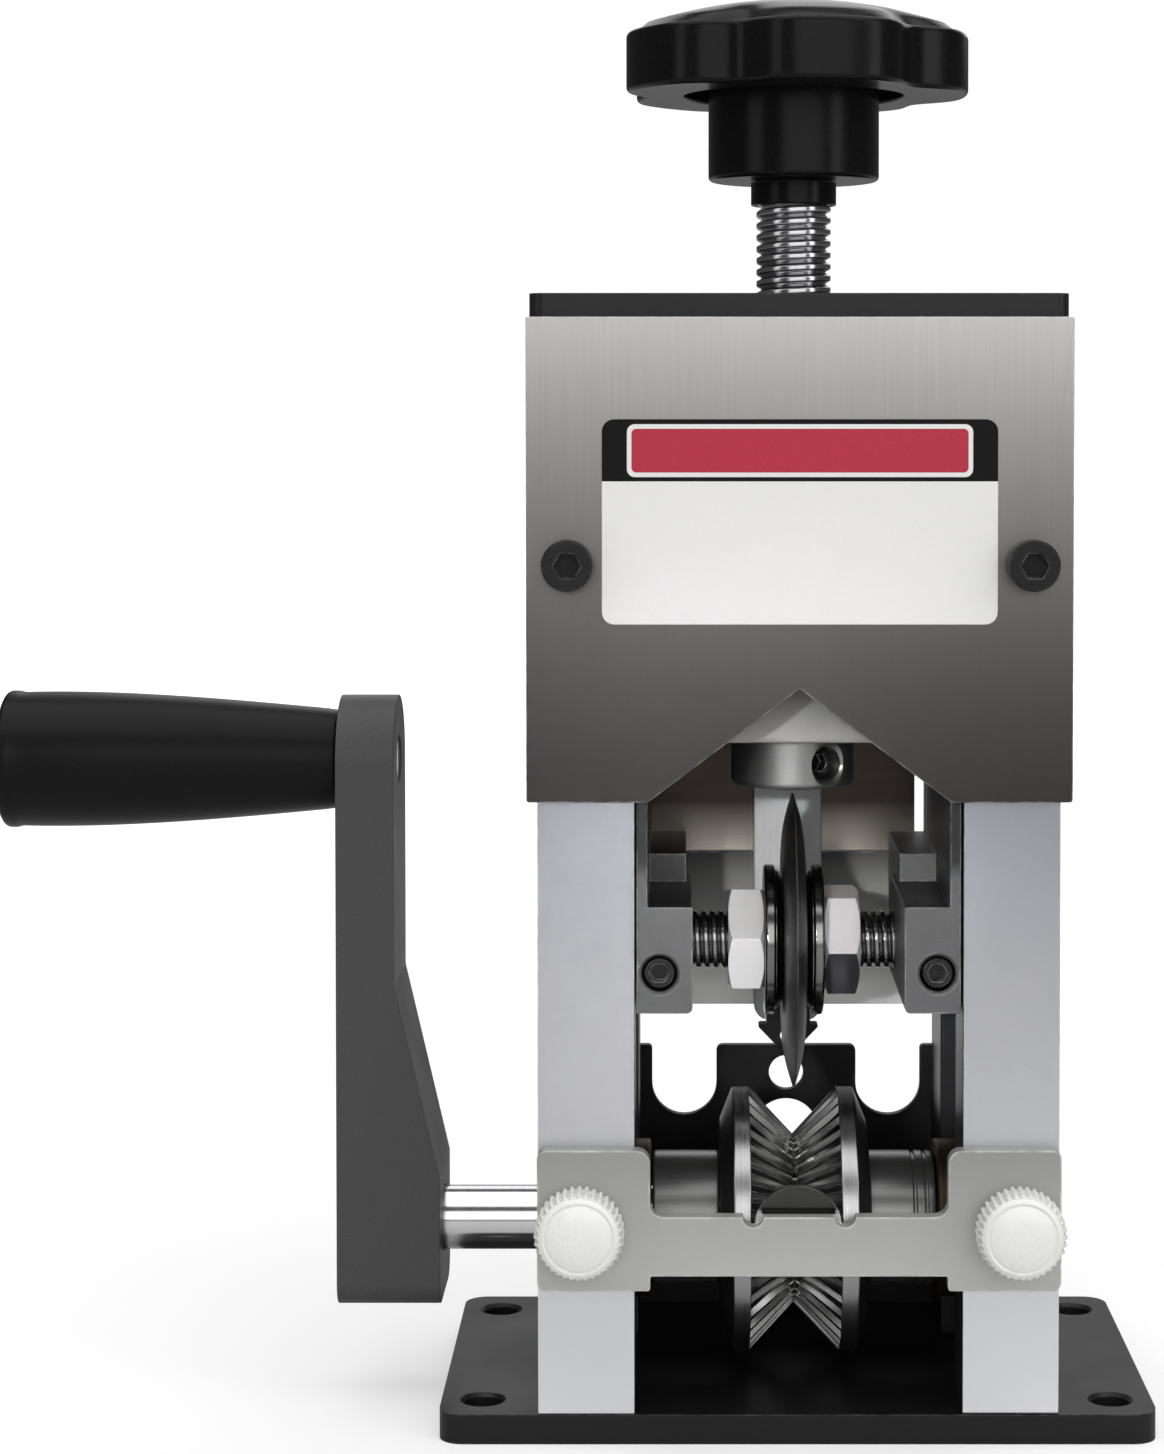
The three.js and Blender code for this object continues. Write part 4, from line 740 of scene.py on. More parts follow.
def makePosts(size):
    for hand, side in hands.items():
        low, high = boxOf(f"{hand}_post")
        inner, outer = reachOf(f"{hand}_post")
        front, rear = size.groove
        outline = [(inner, low.y), (outer, low.y), (outer, high.y), (inner, high.y),
                   (inner, rear), (size.grooveFloor, rear), (size.grooveFloor, front), (inner, front)]
        column = prism(f"{hand}_post_aluminium", [(side * x, y) for x, y in outline], low.z, high.z)
        tools = [pin(size.bearing, *span(side, inner - 1, outer + 1), "x", driveAxis)]
        for depth, (x, z) in ((size.boltDepth, shieldScrew), (size.studDepth, studPlace)):
            tools.append(pin(boltHole, low.y - 1, low.y + depth, "y", (side * x, z), 24))
        x, z = rearPlate.screw
        softened(combined(column, [*tools, smallSocket(high.y, side * x, z)]), size.edge)
        for skin in ("postAluminium", "postInsideShade"):
            column.data.materials.append(skins[skin])
        # inward faces and groove faces take the dark finish, as painted shade between the posts
        for face in column.data.polygons:
            x, y = abs(face.center.x) / mm, face.center.y / mm
            inwards = -side * face.normal.x > 0.5
            inGroove = x < outer - size.outerWall and abs(face.normal.y) > 0.9 and low.y + 1 < y < high.y - 1
            face.material_index = 1 if inwards or inGroove else 0
        finished(column, "frame", None, [f"{hand}_post"])


bearing = sizes(flange=13.5, body=10, bore=5.8, edge=0.5)


def makeBearings(size):
    for hand, side in hands.items():
        inner, outer = reachOf(f"{hand}_bearing")
        step = post.grooveFloor - 0.02
        corners = [(size.bore, inner, 0.3), (size.flange, inner, size.edge), (size.flange, step, 0.3),
                   (size.body, step), (size.body, outer, 0.4), (size.bore, outer, 0.3)]
        ring = ringOf(f"{hand}_bearing_bronze", corners, 3, driveAxis, side=side)
        finished(ring, "frame", "bronze", [f"{hand}_bearing"])


shield = sizes(edge=0.35, notch=25, apex=126.2, corner=0.4)


def makeShield(size):
    low, high = boxOf("front_shield")
    corner = size.corner
    outline = [(low.x, low.z, corner), (-size.notch, low.z), (0, size.apex, corner), (size.notch, low.z),
               (high.x, low.z, corner), (high.x, high.z, corner), (low.x, high.z, corner)]
    sheet = prism("front_shield_brushed", rounded(outline, 3), low.y, high.y, "y")
    softened(combined(sheet, holePair(boltHole, "front_shield", *shieldScrew)), size.edge)
    finished(sheet, "frame", "shieldSteel", ["front_shield"])
    x, z = shieldScrew
    screwRow("shield_screw", capScrew(screws["cap"]), seatPair(x, low.y, z, "front"),
             "frame", "blackOxide")


labelPlate = sizes(half=32.5, low=136.8, high=170.5, corner=2, thick=0.28, layer=0.03, bandLow=160.3,
                   barHalf=28.4, bar=(161.0, 169.7), barCorner=1.3, rim=0.75)


def makeLabel(size):  # a plain panel with a dark band and a bare red bar, each a thin layer on the last
    back = boxOf("front_shield")[0].y
    half, corner, rim, wide = size.half, size.corner, size.rim, size.barHalf
    low, high = size.bar
    band = [(-half, size.bandLow), (half, size.bandLow), (half, size.high, corner), (-half, size.high, corner)]
    layers = [
        ("panel", "labelWhite", rectangle(-half, half, size.low, size.high, corner)),
        ("band", "labelBlack", rounded(band)),
        ("bar_rim", "labelWhite", rectangle(-wide, wide, low, high, size.barCorner)),
        ("bar", "labelRed", rectangle(rim - wide, wide - rim, low + rim, high - rim, size.barCorner - 0.5)),
    ]
    for number, (name, skin, outline) in enumerate(layers):
        proud = size.thick + number * size.layer
        layer = softened(prism(f"label_{name}", outline, back - proud, back - 0.001, "y"), 0.05, 2)
        finished(layer, "frame", skin)


guideBar = sizes(edge=0.4, fillet=2.2, outerFillet=1.5, lowerFillet=0.4, earInner=24.6, barLow=28.95, barHigh=38.85,
                 thick=2.98, notchX=7.6, notch=1.7, arch=7.3, archTop=43.05, foot=36.85, archSteps=40, sunk=0.8,
                 ledge=6.1, ledgeTop=39.45, ledgeDepth=1.0)


def makeGuideBar(size):
    node = "front_guide_bar"
    low, high = boxOf(node)
    inner, outer = size.earInner, size.outerFillet
    right = [(inner, size.barLow, size.lowerFillet), (inner, low.z, 0.5), (high.x, low.z, outer),
             (high.x, high.z, outer), (inner, high.z, size.fillet), (inner, size.barHigh, size.fillet)]
    back = low.y + size.thick
    bar = prism("guide_bar_grey", rounded(right + flipped(right), 7), low.y, back, "y")
    cuts = ((boltHole, *studPlace), (size.notch, size.notchX, size.barHigh))
    softened(combined(bar, [hole(radius, node, side * x, z) for side in sides for radius, x, z in cuts]), size.edge)
    radius, top, foot, ledge = size.arch, size.archTop, size.foot, size.ledge
    middle, shelf = top - radius, back + size.ledgeDepth
    first = math.asin((foot - middle) / radius)
    turns = [first + (math.pi - 2 * first) * step / size.archSteps for step in range(size.archSteps + 1)]
    arch = [(radius * math.cos(turn), middle + radius * math.sin(turn)) for turn in turns]
    lip = prism("lip", arch, back - size.sunk, high.y, "y")
    wide = radius + 1
    combined(lip, [prism("front", rectangle(-wide, wide, size.barHigh, top + 1), back - 1, shelf, "y")])
    softened(lip, 0.25)
    tread = prism("ledge", rectangle(-ledge, ledge, foot, size.ledgeTop), back - size.sunk, shelf + 0.06, "y")
    combined(bar, [lip, softened(tread, 0.12)], "UNION")
    for skin in ("guideGrey", "lipSteel", "barSteel"):
        bar.data.materials.append(skins[skin])
    for face in bar.data.polygons:
        x, y, z = face.center / mm
        onLip = y > shelf + 0.07 or z > size.ledgeTop + 0.01
        face.material_index = 0 if abs(x) >= radius or y <= back + 0.01 else 1 if onLip else 2
    finished(bar, "frame", None, [node])


makePosts(post)
makeBearings(bearing)
makeShield(shield)
makeLabel(labelPlate)
makeGuideBar(guideBar)
print("posts, shield and guide bar made")


# Thumb knobs: a turned core with a round row of ridges

thumbKnob = sizes(core=6.8, ridges=36, groove=5.55, bore=2.8, boreDepth=5.98, sunk=0.25, studRadius=2.5,
                  ridgeSection=((-0.48, 0), (-0.3, 0.75), (0, 1), (0.3, 0.75), (0.48, 0)))


def makeThumbKnobs(size):
    for hand in hands:
        low, high = boxOf(f"thumb_knob_{hand}")
        at = ((low.x + high.x) / 2, (low.z + high.z) / 2)
        length, core, groove, bore = high.y - low.y, size.core, size.groove, size.bore
        ridge = (high.x - low.x) / 2 - core
        profile = [(0, size.boreDepth), (bore, size.boreDepth), (bore, 0)]
        profile += rounded([
            (bore, 0), (core - 0.5, 0, 0.3), (core, 0.8), (core, length - 1.0, 1.3),
            (groove + 0.35, length - 0.75, 0.3), (groove, length - 1.0, 0.12), (groove - 0.35, length - 0.72, 0.4),
            (groove - 1.6, length - 0.3), (2.6, length - 0.09), (1.2, length - 0.02), (0, length)], 5)[1:]
        body = turned("core", profile, steps=120)
        heights = ((0.75, 0.0), (1.15, ridge), (length - 2.2, ridge), (length - 1.2, -0.1))
        piece = lofted("ridge", [[(core - size.sunk + (reach + size.sunk) * share, y, z)
                                  for y, share in size.ridgeSection] for z, reach in heights])
        knob = joined(f"{hand}_thumb_knob_white", [body, roundOf(piece, size.ridges, "whitePlastic")])
        standing(knob, "-y", at, high.y)
        finished(knob, f"{hand}_thumb_knob", "whitePlastic", [f"thumb_knob_{hand}"])
        rear, radius = boxOf(f"guide_stud_{hand}"), size.studRadius
        outline = rounded([(0, rear[0].y), (radius, rear[0].y, 0.4), (radius, rear[1].y, 0.4), (0, rear[1].y)], 2)
        rod = turned(f"{hand}_stud_zinc", outline, "y", at, 32)
        finished(rod, f"{hand}_stud", "zinc", [f"guide_stud_{hand}"])


makeThumbKnobs(thumbKnob)
print("thumb knobs made")


# Carriage: cheeks, crosshead, rear web, back plate, splitter bar and wedge

crossScrewZ = 121.85
cheek = sizes(edge=0.35, outer=26.9, wall=1.8, tongue=(-19.7, 9.7), armInner=17.6, armBack=4, armTop=89.6,
              blockInner=18.7, blockTop=94.5, axle=5.3, setScrew=(23.1, 78.5), setHole=3.0, webScrew=(22.8, 82),
              boltHead=4.55, screwSeat=27.5)


def makeCheeks(size):
    for hand, side in hands.items():
        low, high = boxOf(f"{hand}_cheek")
        outer, tongueOuter = size.outer, reachOf(f"{hand}_cheek")[1]

        def brick(name, xs, ys, top):
            return prism(name, rectangle(*span(side, *xs), low.z, top), *ys, "y")

        body = brick(f"{hand}_cheek_steel", (outer - size.wall, outer), (low.y, high.y), high.z)
        arm = [(side * outer, low.z), (side * size.armInner, low.z, 1.0),
               (side * size.armInner, size.armTop, 0.3), (side * outer, size.armTop)]
        combined(body, [
            brick("tongue", (outer - size.wall, tongueOuter), size.tongue, high.z),
            prism("arm", rounded(arm, 5), low.y, size.armBack, "y"),
            brick("block", (size.blockInner, outer), (axisY, high.y), size.blockTop),
        ], "UNION")
        (x, z), (webX, webZ), hole = size.setScrew, size.webScrew, size.setHole
        mouth = [(0, low.y - 1), (hole + 1.5, low.y - 1), (hole, low.y + 0.5), (hole, axisY), (0, axisY)]
        combined(body, [
            pin(size.axle, *span(side, 0, tongueOuter + 1), "x", bladeAxis),
            turned("set", mouth, "y", (side * x, z), 40),
            smallSocket(high.y, side * webX, webZ),
            pin(boltHole, *span(side, 0, tongueOuter + 1), "x", (axisY, crossScrewZ), 32),
            pin(size.boltHead, *span(side, size.screwSeat, tongueOuter + 1), "x", (axisY, crossScrewZ), 40),
        ])
        softened(body, size.edge)
        finished(body, "carriage", "carriageSteel", [f"{hand}_cheek"])


crosshead = sizes(edge=0.4, bore=5.3, slot=6.22, slotFloor=21.18, slotTop=123.02, boltEnds=(14, 26), plateScrewX=15)


def makeCrosshead(size):
    low, high = boxOf("crosshead")
    block = prism("crosshead_steel", rectangle(low.x, high.x, low.y, high.y), low.z, high.z)
    slot = prism("slot", rectangle(-size.slot, size.slot, size.slotFloor, high.y + 1), low.z - 1, size.slotTop)
    tools = [slot, pin(size.bore, low.z - 1, high.z + 1, "z", screwAxis)]
    for side in sides:
        tools.append(pin(boltHole, *span(side, *size.boltEnds), "x", (axisY, crossScrewZ), 24))
        tools.append(smallSocket(high.y, side * size.plateScrewX, crossScrewZ))
    softened(combined(block, tools), size.edge)
    finished(block, "carriage", "headSteel", ["crosshead"])


carriagePlates = {  # leftMore covers the light gap at the back plate's left
    "rear_web": sizes(skin="paleSteel", slot="pale_steel", screw="web_screw", edge=0.35, corner=0.6, leftMore=0,
                      holes=cheek.webScrew),
    "back_plate": sizes(skin="mirrorPlate", slot="polished_steel", screw="back_plate_screw", edge=0.25, corner=0.4,
                        leftMore=2.1, holes=(crosshead.plateScrewX, crossScrewZ)),
}


def makeCarriagePlates(plates):
    for node, size in plates.items():
        low, high = boxOf(node)
        outline = rectangle(low.x - size.leftMore, high.x, low.z, high.z, size.corner)
        plate = prism(f"{node}_sheet", outline, low.y, high.y, "y")
        x, z = size.holes
        softened(combined(plate, holePair(smallHole.radius, node, x, z, 24)), size.edge)
        finished(plate, "carriage", size.skin, [node])
        screwRow(size.screw, buttonScrew(screws["button"]), seatPair(x, high.y, z, "rear"), "carriage", "zinc")


splitter = sizes(corner=3, edge=0.3, wedgeEdge=0.2, tab=4, shoulder=6, shoulderRise=5, tip=1.2, hole=1.5,
                 holeDrop=2.25)


def makeSplitter(size):
    low, high = boxOf("splitter_bar")
    outline = [(low.x, low.z, size.corner), (high.x, low.z, size.corner), (high.x, high.z), (low.x, high.z)]
    bar = softened(prism("splitter_bar_steel", rounded(outline), low.y, high.y, "y"), size.edge)
    finished(bar, "carriage", "barSteel", ["splitter_bar"])
    low, high = boxOf("splitter_wedge")
    level = low.z + size.shoulderRise
    half = [(size.tip, low.z, 0.3), (size.shoulder, level, 0.4), (size.tab, level), (size.tab, high.z, 1)]
    wedge = prism("splitter_wedge_black", rounded(half + flipped(half), 4), low.y, high.y, "y")
    combined(wedge, [hole(size.hole, "splitter_wedge", 0, level - size.holeDrop, 32)])
    softened(wedge, size.wedgeEdge)
    finished(wedge, "carriage", "blackOxide", ["splitter_wedge"])


def makeCarriageScrews(size):
    seats = [((side * size.screwSeat, axisY, crossScrewZ), faces[hand]) for hand, side in hands.items()]
    screwRow("crosshead_screw", capScrew(screws["cross"]), seats, "carriage", "blackOxide")
    low, high = boxOf("axle_set_screw_left")
    x, z = size.setScrew
    screwRow("axle_set_screw", setScrew(screws["set"], high.y - low.y), seatPair(x, low.y, z, "front"),
             "carriage", "socketBlack")


makeCheeks(cheek)
makeCrosshead(crosshead)
makeCarriagePlates(carriagePlates)
makeSplitter(splitter)
makeCarriageScrews(cheek)
print("carriage made")


# Blade axle, nuts, blade, its flanges and bush

axle = sizes(radius=5, pitch=1.5, depth=0.75, turns=7, threadStart=9.6)


def rodOf(name, radius, low, high, axis, at, edges=(0.3, 0.3), steps=72, curve=2):  # a round rod with rounded ends
    corners = [(0, low), (radius, low, edges[0]), (radius, high, edges[1]), (0, high)]
    return turned(name, rounded(corners, curve), axis, at, steps)


def makeAxle(size):
    low, high = boxOf("blade_axle")
    start, length = size.threadStart, size.turns * size.pitch
    pieces = [rodOf("middle", size.radius, -start, start, "x", bladeAxis, (0.2, 0.2), 64)]
    for side, end in zip(sides, (low.x, high.x)):
        threads = threadPiece(size, "threadSteel")
        pieces.append(standing(threads, "x", bladeAxis, start if side > 0 else -start - length))
        pieces.append(rodOf("end", size.radius, side * (start + length), end, "x", bladeAxis, (0.2, 0.3), 64))
    finished(joined("blade_axle_steel", pieces), "carriage", "threadSteel", ["blade_axle"], 50)


nut = sizes(flats=17, bevel=1.35, bevelHeight=0.75, bore=5.05, turns={"left": 40, "right": 25}, edge=0.3)


def makeNuts(size):
    corner = size.flats / math.sqrt(3)
    flat, rise = corner - size.bevel, size.bevelHeight
    for hand, side in hands.items():
        near, far = reachOf(f"axle_nut_{hand}")
        body = turned(f"{hand}_nut_zinc", [(0, near), (corner, near), (corner, far), (0, far)], "x", bladeAxis, 6,
                      start=quarter - math.radians(size.turns[hand]), side=side)
        hull = [(0, near), (flat, near), (corner + 0.1, near + rise), (corner + 0.1, far - rise), (flat, far), (0, far)]
        combined(body, [turned("hull", hull, "x", bladeAxis, 96, side=side)], "INTERSECT")
        combined(body, [pin(size.bore, *span(side, near - 1, far + 1), "x", bladeAxis)])
        softened(body, size.edge, 3, 24)
        finished(body, "carriage", "nutZinc", [f"axle_nut_{hand}"])


blade = sizes(radius=25.5, land=16.5, half=1.85, edge=0.1, bore=8, swell=0.42, swellBend=0.8, flankSteps=16)
flange = sizes(radius=13, inner=1.95, bright=12.1, root=10.6, step=3.3, edge=0.5)
bush = sizes(bore=5.3, radius=7.7)


def makeBlade(size):
    land, half, bore = size.land, size.half, size.bore
    flank = []
    for step in range(size.flankSteps + 1):
        part = step / size.flankSteps
        swell = size.swell * math.sin(math.pi * part ** size.swellBend)
        flank.append((land + (size.radius - land) * part, half + (size.edge - half) * part + swell))
    profile = [(bore, half)] + flank + [(r, -x) for r, x in reversed(flank)] + [(bore, -half)]
    disc = turned("blade_black", profile, "x", bladeAxis, 144, ring=True)
    finished(disc, "blade", "bladeBlack", ["blade"], 20)


def makeFlanges(size, hub):
    bore, inner, step, bright, outer = blade.bore, size.inner, size.step, size.bright, size.radius
    for hand, side in hands.items():
        far = reachOf(f"blade_flange_{hand}")[1]
        corners = [(bore, inner, 0.1), (size.root, inner, 0.3), (bright, step - 0.3, 0.3), (bright, step, 0.1),
                   (outer, step, 0.35), (outer, far, size.edge), (bore, far, 0.2)]
        washer = ringOf(f"{hand}_blade_flange_black", corners, 5, bladeAxis, 96, side)
        finished(washer, "blade", "flangeBlack", [f"blade_flange_{hand}"])
    low, high = boxOf("blade_bush")
    corners = [(hub.bore, low.x, 0.2), (hub.radius, low.x, 0.3), (hub.radius, high.x, 0.3), (hub.bore, high.x, 0.2)]
    finished(ringOf("blade_bush_bronze", corners, 2, bladeAxis), "blade", "bronze", ["blade_bush"])


makeAxle(axle)
makeNuts(nut)
makeBlade(blade)
makeFlanges(flange, bush)
print("blade made")


# Adjusting screw, collar and star knob

adjuster = sizes(radius=6.45, depth=0.85, pitch=2, turns=40, journal=5)


def makeAdjuster(size):
    low, high = boxOf("adjusting_screw")
    seat = boxOf("crosshead")[1].z + 0.02
    top = seat + size.turns * size.pitch - 0.5
    parts = [
        standing(threadPiece(size, "screwSteel"), "z", screwAxis, seat),
        rodOf("journal", size.journal, low.z, seat + 1, "z", screwAxis),
        rodOf("head", size.radius, top, high.z, "z", screwAxis),
    ]
    finished(joined("adjusting_screw_steel", parts), "screw", "screwSteel", ["adjusting_screw"], 50)


collar = sizes(radius=10.8, bore=5.3, turn=33, hole=3.0, mouthDepth=-9.9, flare=4, mouthEdge=0.22, lowEdge=1.1,
               socketEnd=7.8, socketStart=5.6)


def makeCollar(size):
    low, high = boxOf("retaining_collar")
    corners = [(size.bore, low.z, 0.3), (size.radius, low.z, size.lowEdge), (size.radius, high.z, 0.35),
               (size.bore, high.z, 0.3)]
    ring = turned("collar_steel", rounded(corners, 5), "z", (0, 0), 96, ring=True)
    middle, turn = (low.z + high.z) / 2, math.radians(size.turn)
    bore, depth, flare, reach = size.hole, size.mouthDepth, size.flare, size.socketEnd
    mouth = [(0, depth - flare), (bore + flare, depth - flare), (bore, depth), (bore, 0), (0, 0)]
    softened(combined(ring, [turned("mouth", mouth, "y", (0, middle), 48)]), size.mouthEdge, 3, 40)
    ring.data.transform(Matrix.Translation(Vector((*screwAxis, 0)) * mm) @ Matrix.Rotation(turn, 4, "Z"))
    finished(ring, "screw", "collarSteel", ["retaining_collar"])
    seat = (reach * math.sin(turn), axisY - reach * math.cos(turn), middle)
    screwRow("collar_set_screw", setScrew(screws["set"], reach - size.socketStart), [(seat, (quarter, 0, turn))],
             "screw", "socketBlack", ["collar_set_screw"])


starKnob = sizes(radius=30.2, lobes=5, depth=4.2, lobeTurn=13, neck=7.4, neckHeight=4.2, hub=14.8, hubHeight=18.3,
                 recess=19, recessDepth=3.7, rim=11.2, dome=5.2, domeSteps=12, domeInset=1.2, domeCurve=1.9,
                 lobeFrom=20, lobeSpan=7.2, bore=6.75, boreTop=15)


def makeStarKnob(size):
    base = boxOf("star_knob")[0].z
    hubTop = base + size.neckHeight + size.hubHeight
    rimLow = hubTop - size.recessDepth
    rimTop = rimLow + size.rim
    radius, hub, neck, recess = size.radius, size.hub, size.neck, size.recess
    profile = rounded([
        (0, base + size.boreTop), (size.bore, base + size.boreTop), (size.bore, base),
        (neck, base, 0.25), (neck, base + size.neckHeight, 0.4), (hub, base + size.neckHeight, 0.8),
        (hub, hubTop, 0.5), (recess, hubTop, 0.8), (recess, rimLow, 0.5),
        (radius - 2, rimLow), (radius, rimLow, 0.9), (radius, rimTop, 1.1)], 5)
    for step in range(1, size.domeSteps + 1):
        left = 1 - step / size.domeSteps
        profile.append(((radius - size.domeInset) * left, rimTop + size.dome * (1 - left ** size.domeCurve)))
    wheel = turned("star_knob_black", profile, "z", (0, 0), 180)
    values = []
    for vertex in wheel.data.vertices:
        reach = math.hypot(vertex.co.x, vertex.co.y) / mm
        share = min(1, max(0, (reach - size.lobeFrom) / size.lobeSpan))
        values.append(size.depth * mm * share if vertex.co.z > (rimLow - 0.01) * mm else 0)
    wheel.data.attributes.new("depth", "FLOAT", "POINT").data.foreach_set("value", values)
    grown(wheel, wheelLobes, "knobPlastic", Lobes=size.lobes, Turn=math.radians(size.lobeTurn) - quarter)
    wheel.data.transform(Matrix.Translation(Vector((*screwAxis, 0)) * mm))
    finished(wheel, "screw", "knobPlastic", ["star_knob"], 45)


makeAdjuster(adjuster)
makeCollar(collar)
makeStarKnob(starKnob)
print("adjusting screw made")


# Feed discs with their teeth, spacers and shaft

disc = sizes(half=0.15, cone=7.6, rimEnd=10.6, back=12.8, root=13.1, rim=22.5, backRadius=17, bore=5.8, teeth=44,
             lean=1, height=1.15, toothEnds=(0.2, 8.0), toothWide=(1.5, 2.6), landWide=(0.4, 0.8), bury=0.35, slant=0.3)


def makeDiscs(size):
    cone, half, rim, under, root, back = size.cone, size.half, size.rim, size.height, size.root, size.back
    flank = (root, rim - under)

    def between(ends, share):
        return ends[0] + (ends[1] - ends[0]) * share

    for hand, side in hands.items():
        profile = [(size.bore, half), (root, half + 0.1), (rim - under, cone)]
        profile += rounded([(rim - under, cone), (rim, cone + 0.1, 0.15), (rim, size.rimEnd, 0.5),
                            (size.backRadius, back, 0.4), (size.bore, back, 0.2)], 4)[1:]
        body = turned("body", profile, "z", (0, 0), 108, ring=True)
        rows = []
        for share in (0, 0.5, 1):
            z, reach = between(size.toothEnds, share), between(flank, share)
            wide, land = between(size.toothWide, share), between(size.landWide, share)
            turn = side * math.radians(size.lean) * share
            row = []
            for across, up in ((-wide, -size.bury), (-land, under), (land, under), (wide, -size.bury)):
                radius, angle = reach + up, turn + across / 2 / reach
                row.append((radius * math.cos(angle), radius * math.sin(angle), z - size.slant * up / under))
            rows.append(row)
        teeth = roundOf(lofted("tooth", rows), size.teeth, "toothBlack")
        whole = joined(f"feed_disc_{hand}_toothed", [body, teeth])
        standing(whole, "x" if side > 0 else "-x", driveAxis)
        for skin in ("toothBlack", "rimSteel", "toothSteel", "discSide"):
            whole.data.materials.append(skins[skin])
        # faces between the teeth keep the black finish, which is the disc's own dark body and also painted shade in the
        # gaps
        for face in whole.data.polygons:
            reach = math.hypot(face.center.y / mm - driveAxis[0], face.center.z / mm - driveAxis[1])
            along = abs(face.center.x) / mm
            onRim = along > cone - 0.02 and reach > rim - 0.75 and abs(face.normal.x) < 0.9
            onTooth = along < cone and reach > between(flank, (along - half) / (cone - half)) + 0.1 * under
            face.material_index = 1 if onRim else 2 if onTooth else 3 if along > cone + 0.5 else 0
        finished(whole, "drive", None, [f"feed_disc_{hand}"], 30)


spacer = sizes(radius=11.5, bore=5.8, edge=0.5, grooves={"left": (), "right": (3.6, 1.6)}, groove=0.35)


def makeSpacers(size):
    radius, cut = size.radius, size.radius - size.groove
    for hand, side in hands.items():
        near, far = reachOf(f"{hand}_spacer")
        corners = [(size.bore, near, 0.3), (radius, near, size.edge)]
        for inset in size.grooves[hand]:
            corners += [(reach, far - inset + along, 0.1)
                        for reach, along in ((radius, -0.4), (cut, -0.2), (cut, 0.2), (radius, 0.4))]
        corners += [(radius, far, size.edge), (size.bore, far, 0.3)]
        ring = ringOf(f"{hand}_spacer_black", corners, 3, driveAxis, 96, side)
        finished(ring, "drive", "spacerBlack", [f"{hand}_spacer"])


shafts = {"drive_shaft": sizes(radius=5.5, at=driveAxis), "grip_spindle": sizes(radius=4, at=(axisY, 111.2))}


def makeShaft(node, size):
    low, high = boxOf(node)
    rod = rodOf(f"{node}_steel", size.radius, low.x, high.x, "x", size.at, (0.6, 0.6), 96, 4)
    finished(rod, "drive", "brightSteel", [node])


makeDiscs(disc)
makeSpacers(spacer)
makeShaft("drive_shaft", shafts["drive_shaft"])
print("discs and shaft made")


# Crank arm and grip

crank = sizes(edge=0.8, half=11.2, throw=111.2, hubTop=39.9, neck=73.3, headInner=-68.8, footCorner=4, shaft=5.8,
              shaftDepth=15.3, spindle=4.3, setX=-68.5, setHole=3.0, setTop=25, crownSteps=24)


def makeCrank(size):
    low, high = boxOf("crank_arm")
    half, throw, corner, steps = size.half, size.throw, size.footCorner, size.crownSteps
    outline = [(low.x, low.z), (high.x, low.z), (high.x, size.hubTop, 1.5), (size.headInner, size.neck, 3),
               (size.headInner, high.z), (low.x, high.z)]
    front, rear = axisY - half, axisY + half
    arm = prism("crank_arm_grey", rounded(outline, 4), front - 1, rear + 1, "y")
    foot = rounded([(rear, throw), (front, throw), (front, low.z, corner), (rear, low.z, corner)], 6)
    turns = [t * math.pi / steps for t in range(1, steps)]
    crown = [(axisY - half * math.cos(turn), throw + half * math.sin(turn)) for turn in turns]
    hull = [foot[1], *crown, foot[0], *foot[:1:-1]]
    combined(arm, [prism("hull", hull, low.x - 1, high.x + 1, "x")], "INTERSECT")
    combined(arm, [
        pin(size.shaft, high.x - size.shaftDepth, high.x + 1, "x", driveAxis),
        pin(size.spindle, low.x - 1, high.x + 1, "x", (axisY, throw)),
        pin(size.setHole, low.z - 1, size.setTop, "z", (size.setX, axisY), 32),
    ])
    softened(arm, size.edge, 4, 28)
    finished(arm, "drive", "crankPaint", ["crank_arm"])
    low, high = boxOf("crank_set_screw")
    screwRow("crank_set_screw", setScrew(screws["set"], high.z - low.z), [((size.setX, axisY, low.z), faces["down"])],
             "drive", "blackOxide", ["crank_set_screw"])


grip = sizes(neck=8.6, end=11.9, endLength=3, bore=4.3, boreDepth=51.5, endEdge=1.0, lip=0.25, steps=24)


def makeGrip(size):
    low, high = boxOf("grip")
    length, neck, end, bore = high.x - low.x, size.neck, size.end, size.bore
    body = length - size.endLength
    profile = [(0, size.boreDepth), (bore, size.boreDepth), (bore, 0)]
    profile += rounded([(bore, 0), (neck - 0.1, 0, 0.5), (neck + 0.15, 2)], 4)[1:-1]
    for step in range(1, size.steps + 1):
        part = step / size.steps
        profile.append((neck + (end - neck) * math.sin(part * quarter) - size.lip * part ** 6, body * part))
    profile += rounded([profile[-1], (end, body + 1.0, 0.6), (end, length, size.endEdge), (0, length)], 5)[1:]
    handle = standing(turned("grip_black", profile, "z", (0, 0), 96), "-x", (axisY, crank.throw), high.x)
    finished(handle, "grip", "gripPlastic", ["grip"])


makeCrank(crank)
makeShaft("grip_spindle", shafts["grip_spindle"])
makeGrip(grip)
print("crank made")


# Floor, light and camera, in metres

studio = sizes(floor=60.0, tone=0.62, rough=0.8, specular=0.1, world=1.05, shade=(0.24, 0.09), lift=(0.42, 1.0),
               fade=(0.2, 1.6))
white = (1, 1, 1, 1)


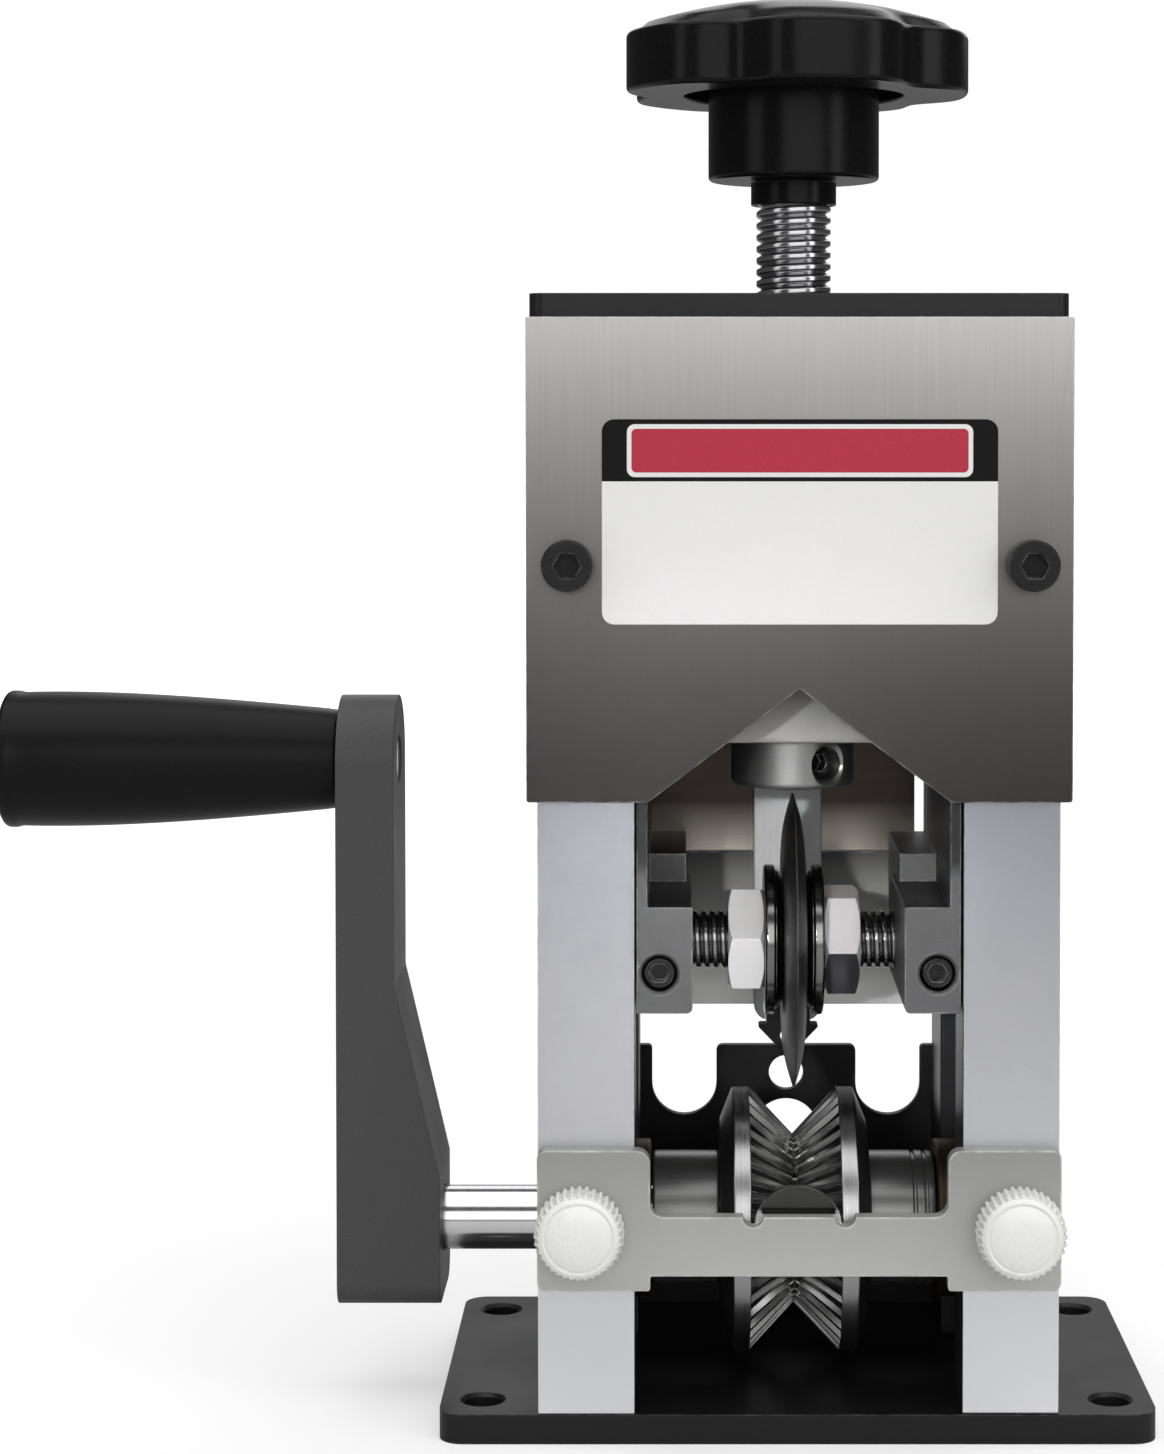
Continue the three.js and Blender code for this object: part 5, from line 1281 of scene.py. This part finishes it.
def makeFloor(size):
    half = size.floor / 2
    floor = newObject("floor")
    floor.data.from_pydata([(-half, -half, 0), (half, -half, 0), (half, half, 0), (-half, half, 0)], [], [[0, 1, 2, 3]])
    look = bpy.data.materials.new("floor white")
    look.use_nodes = True
    tree = look.node_tree
    shader = tree.nodes["Principled BSDF"].inputs
    shader["Base Color"].default_value = paint(size.tone)
    shader["Roughness"].default_value = size.rough
    shader["Specular IOR Level"].default_value = size.specular
    shader["Emission Color"].default_value = white
    place = addNode(tree, "ShaderNodeTexCoord").outputs["Object"]
    reach = addNode(tree, "ShaderNodeVectorMath", {0: place}, operation="LENGTH").outputs["Value"]
    seen = addNode(tree, "ShaderNodeLightPath").outputs["Is Camera Ray"]
    glow = maths(tree, "MULTIPLY", seen, ranged(tree, reach, *size.fade, size.lift))
    tree.links.new(glow, shader["Emission Strength"])
    floor.data.materials.append(look)


def makeWorld(size):
    world = bpy.data.worlds.new("studio white")
    world.use_nodes = True
    tree = world.node_tree
    seen = tree.nodes["Background"]
    seen.inputs["Color"].default_value = white
    seen.inputs["Strength"].default_value = size.world
    path = addNode(tree, "ShaderNodeLightPath").outputs
    level = ranged(tree, path["Is Glossy Ray"], 0, 1, size.shade)  # polished pieces mirror a darker room
    felt = addNode(tree, "ShaderNodeBackground", {"Color": white, "Strength": level})
    mix = addNode(tree, "ShaderNodeMixShader", {0: path["Is Camera Ray"], 1: felt.outputs[0], 2: seen.outputs[0]})
    tree.links.new(mix.outputs[0], tree.nodes["World Output"].inputs["Surface"])
    scene.world = world


lights = {
    "top light": sizes(place=(0.0, -0.15, 1.3), aim=(0, 0, 0.1), size=(1.8, 1.6), power=15),
    "front light": sizes(place=(0.3, -1.6, 0.62), aim=(0, 0, 0.12), size=(1.7, 0.9), power=9),
    "left light": sizes(place=(-1.1, -0.8, 0.7), aim=(0, 0, 0.12), size=(0.5, 1.0), power=2.5),
    "right light": sizes(place=(1.1, -0.7, 0.6), aim=(0, 0, 0.12), size=(0.35, 1.1), power=3.5),
    "carriage light": sizes(place=(-0.25, -1.0, 0.30), aim=(0, -0.01, 0.088), size=(0.05, 0.05), power=0.008, spread=6),
    "rear light": sizes(place=(0.2, 1.2, 0.8), aim=(0, 0, 0.12), size=(1.4, 0.8), power=4),
}


def makeLights(lamps):
    for name, size in lamps.items():
        lamp = bpy.data.lights.new(name, "AREA")
        lamp.shape = "RECTANGLE"
        lamp.size, lamp.size_y = size.size
        lamp.energy, lamp.spread = size.power, math.radians(size.get("spread", 180))
        obj = newObject(name, lamp)
        obj.location = size.place
        obj.rotation_mode = "QUATERNION"
        obj.rotation_quaternion = (Vector(size.place) - Vector(size.aim)).to_track_quat("Z", "Y")


view = sizes(place=(-0.0187, -0.534, 0.1707), down=1.77, lens=75.15, sensor=36, shift=(-0.0715, -0.148))


def makeCamera(size):
    eye = bpy.data.cameras.new("camera")
    eye.lens, eye.sensor_width = size.lens, size.sensor
    eye.shift_x, eye.shift_y = size.shift
    camera = newObject("camera", eye)
    camera.location = size.place
    camera.rotation_euler = (quarter - math.radians(size.down), 0, 0)
    scene.camera = camera


makeFloor(studio)
makeWorld(studio)
makeLights(lights)
makeCamera(view)
scene.view_settings.view_transform = "Standard"
print("studio made")
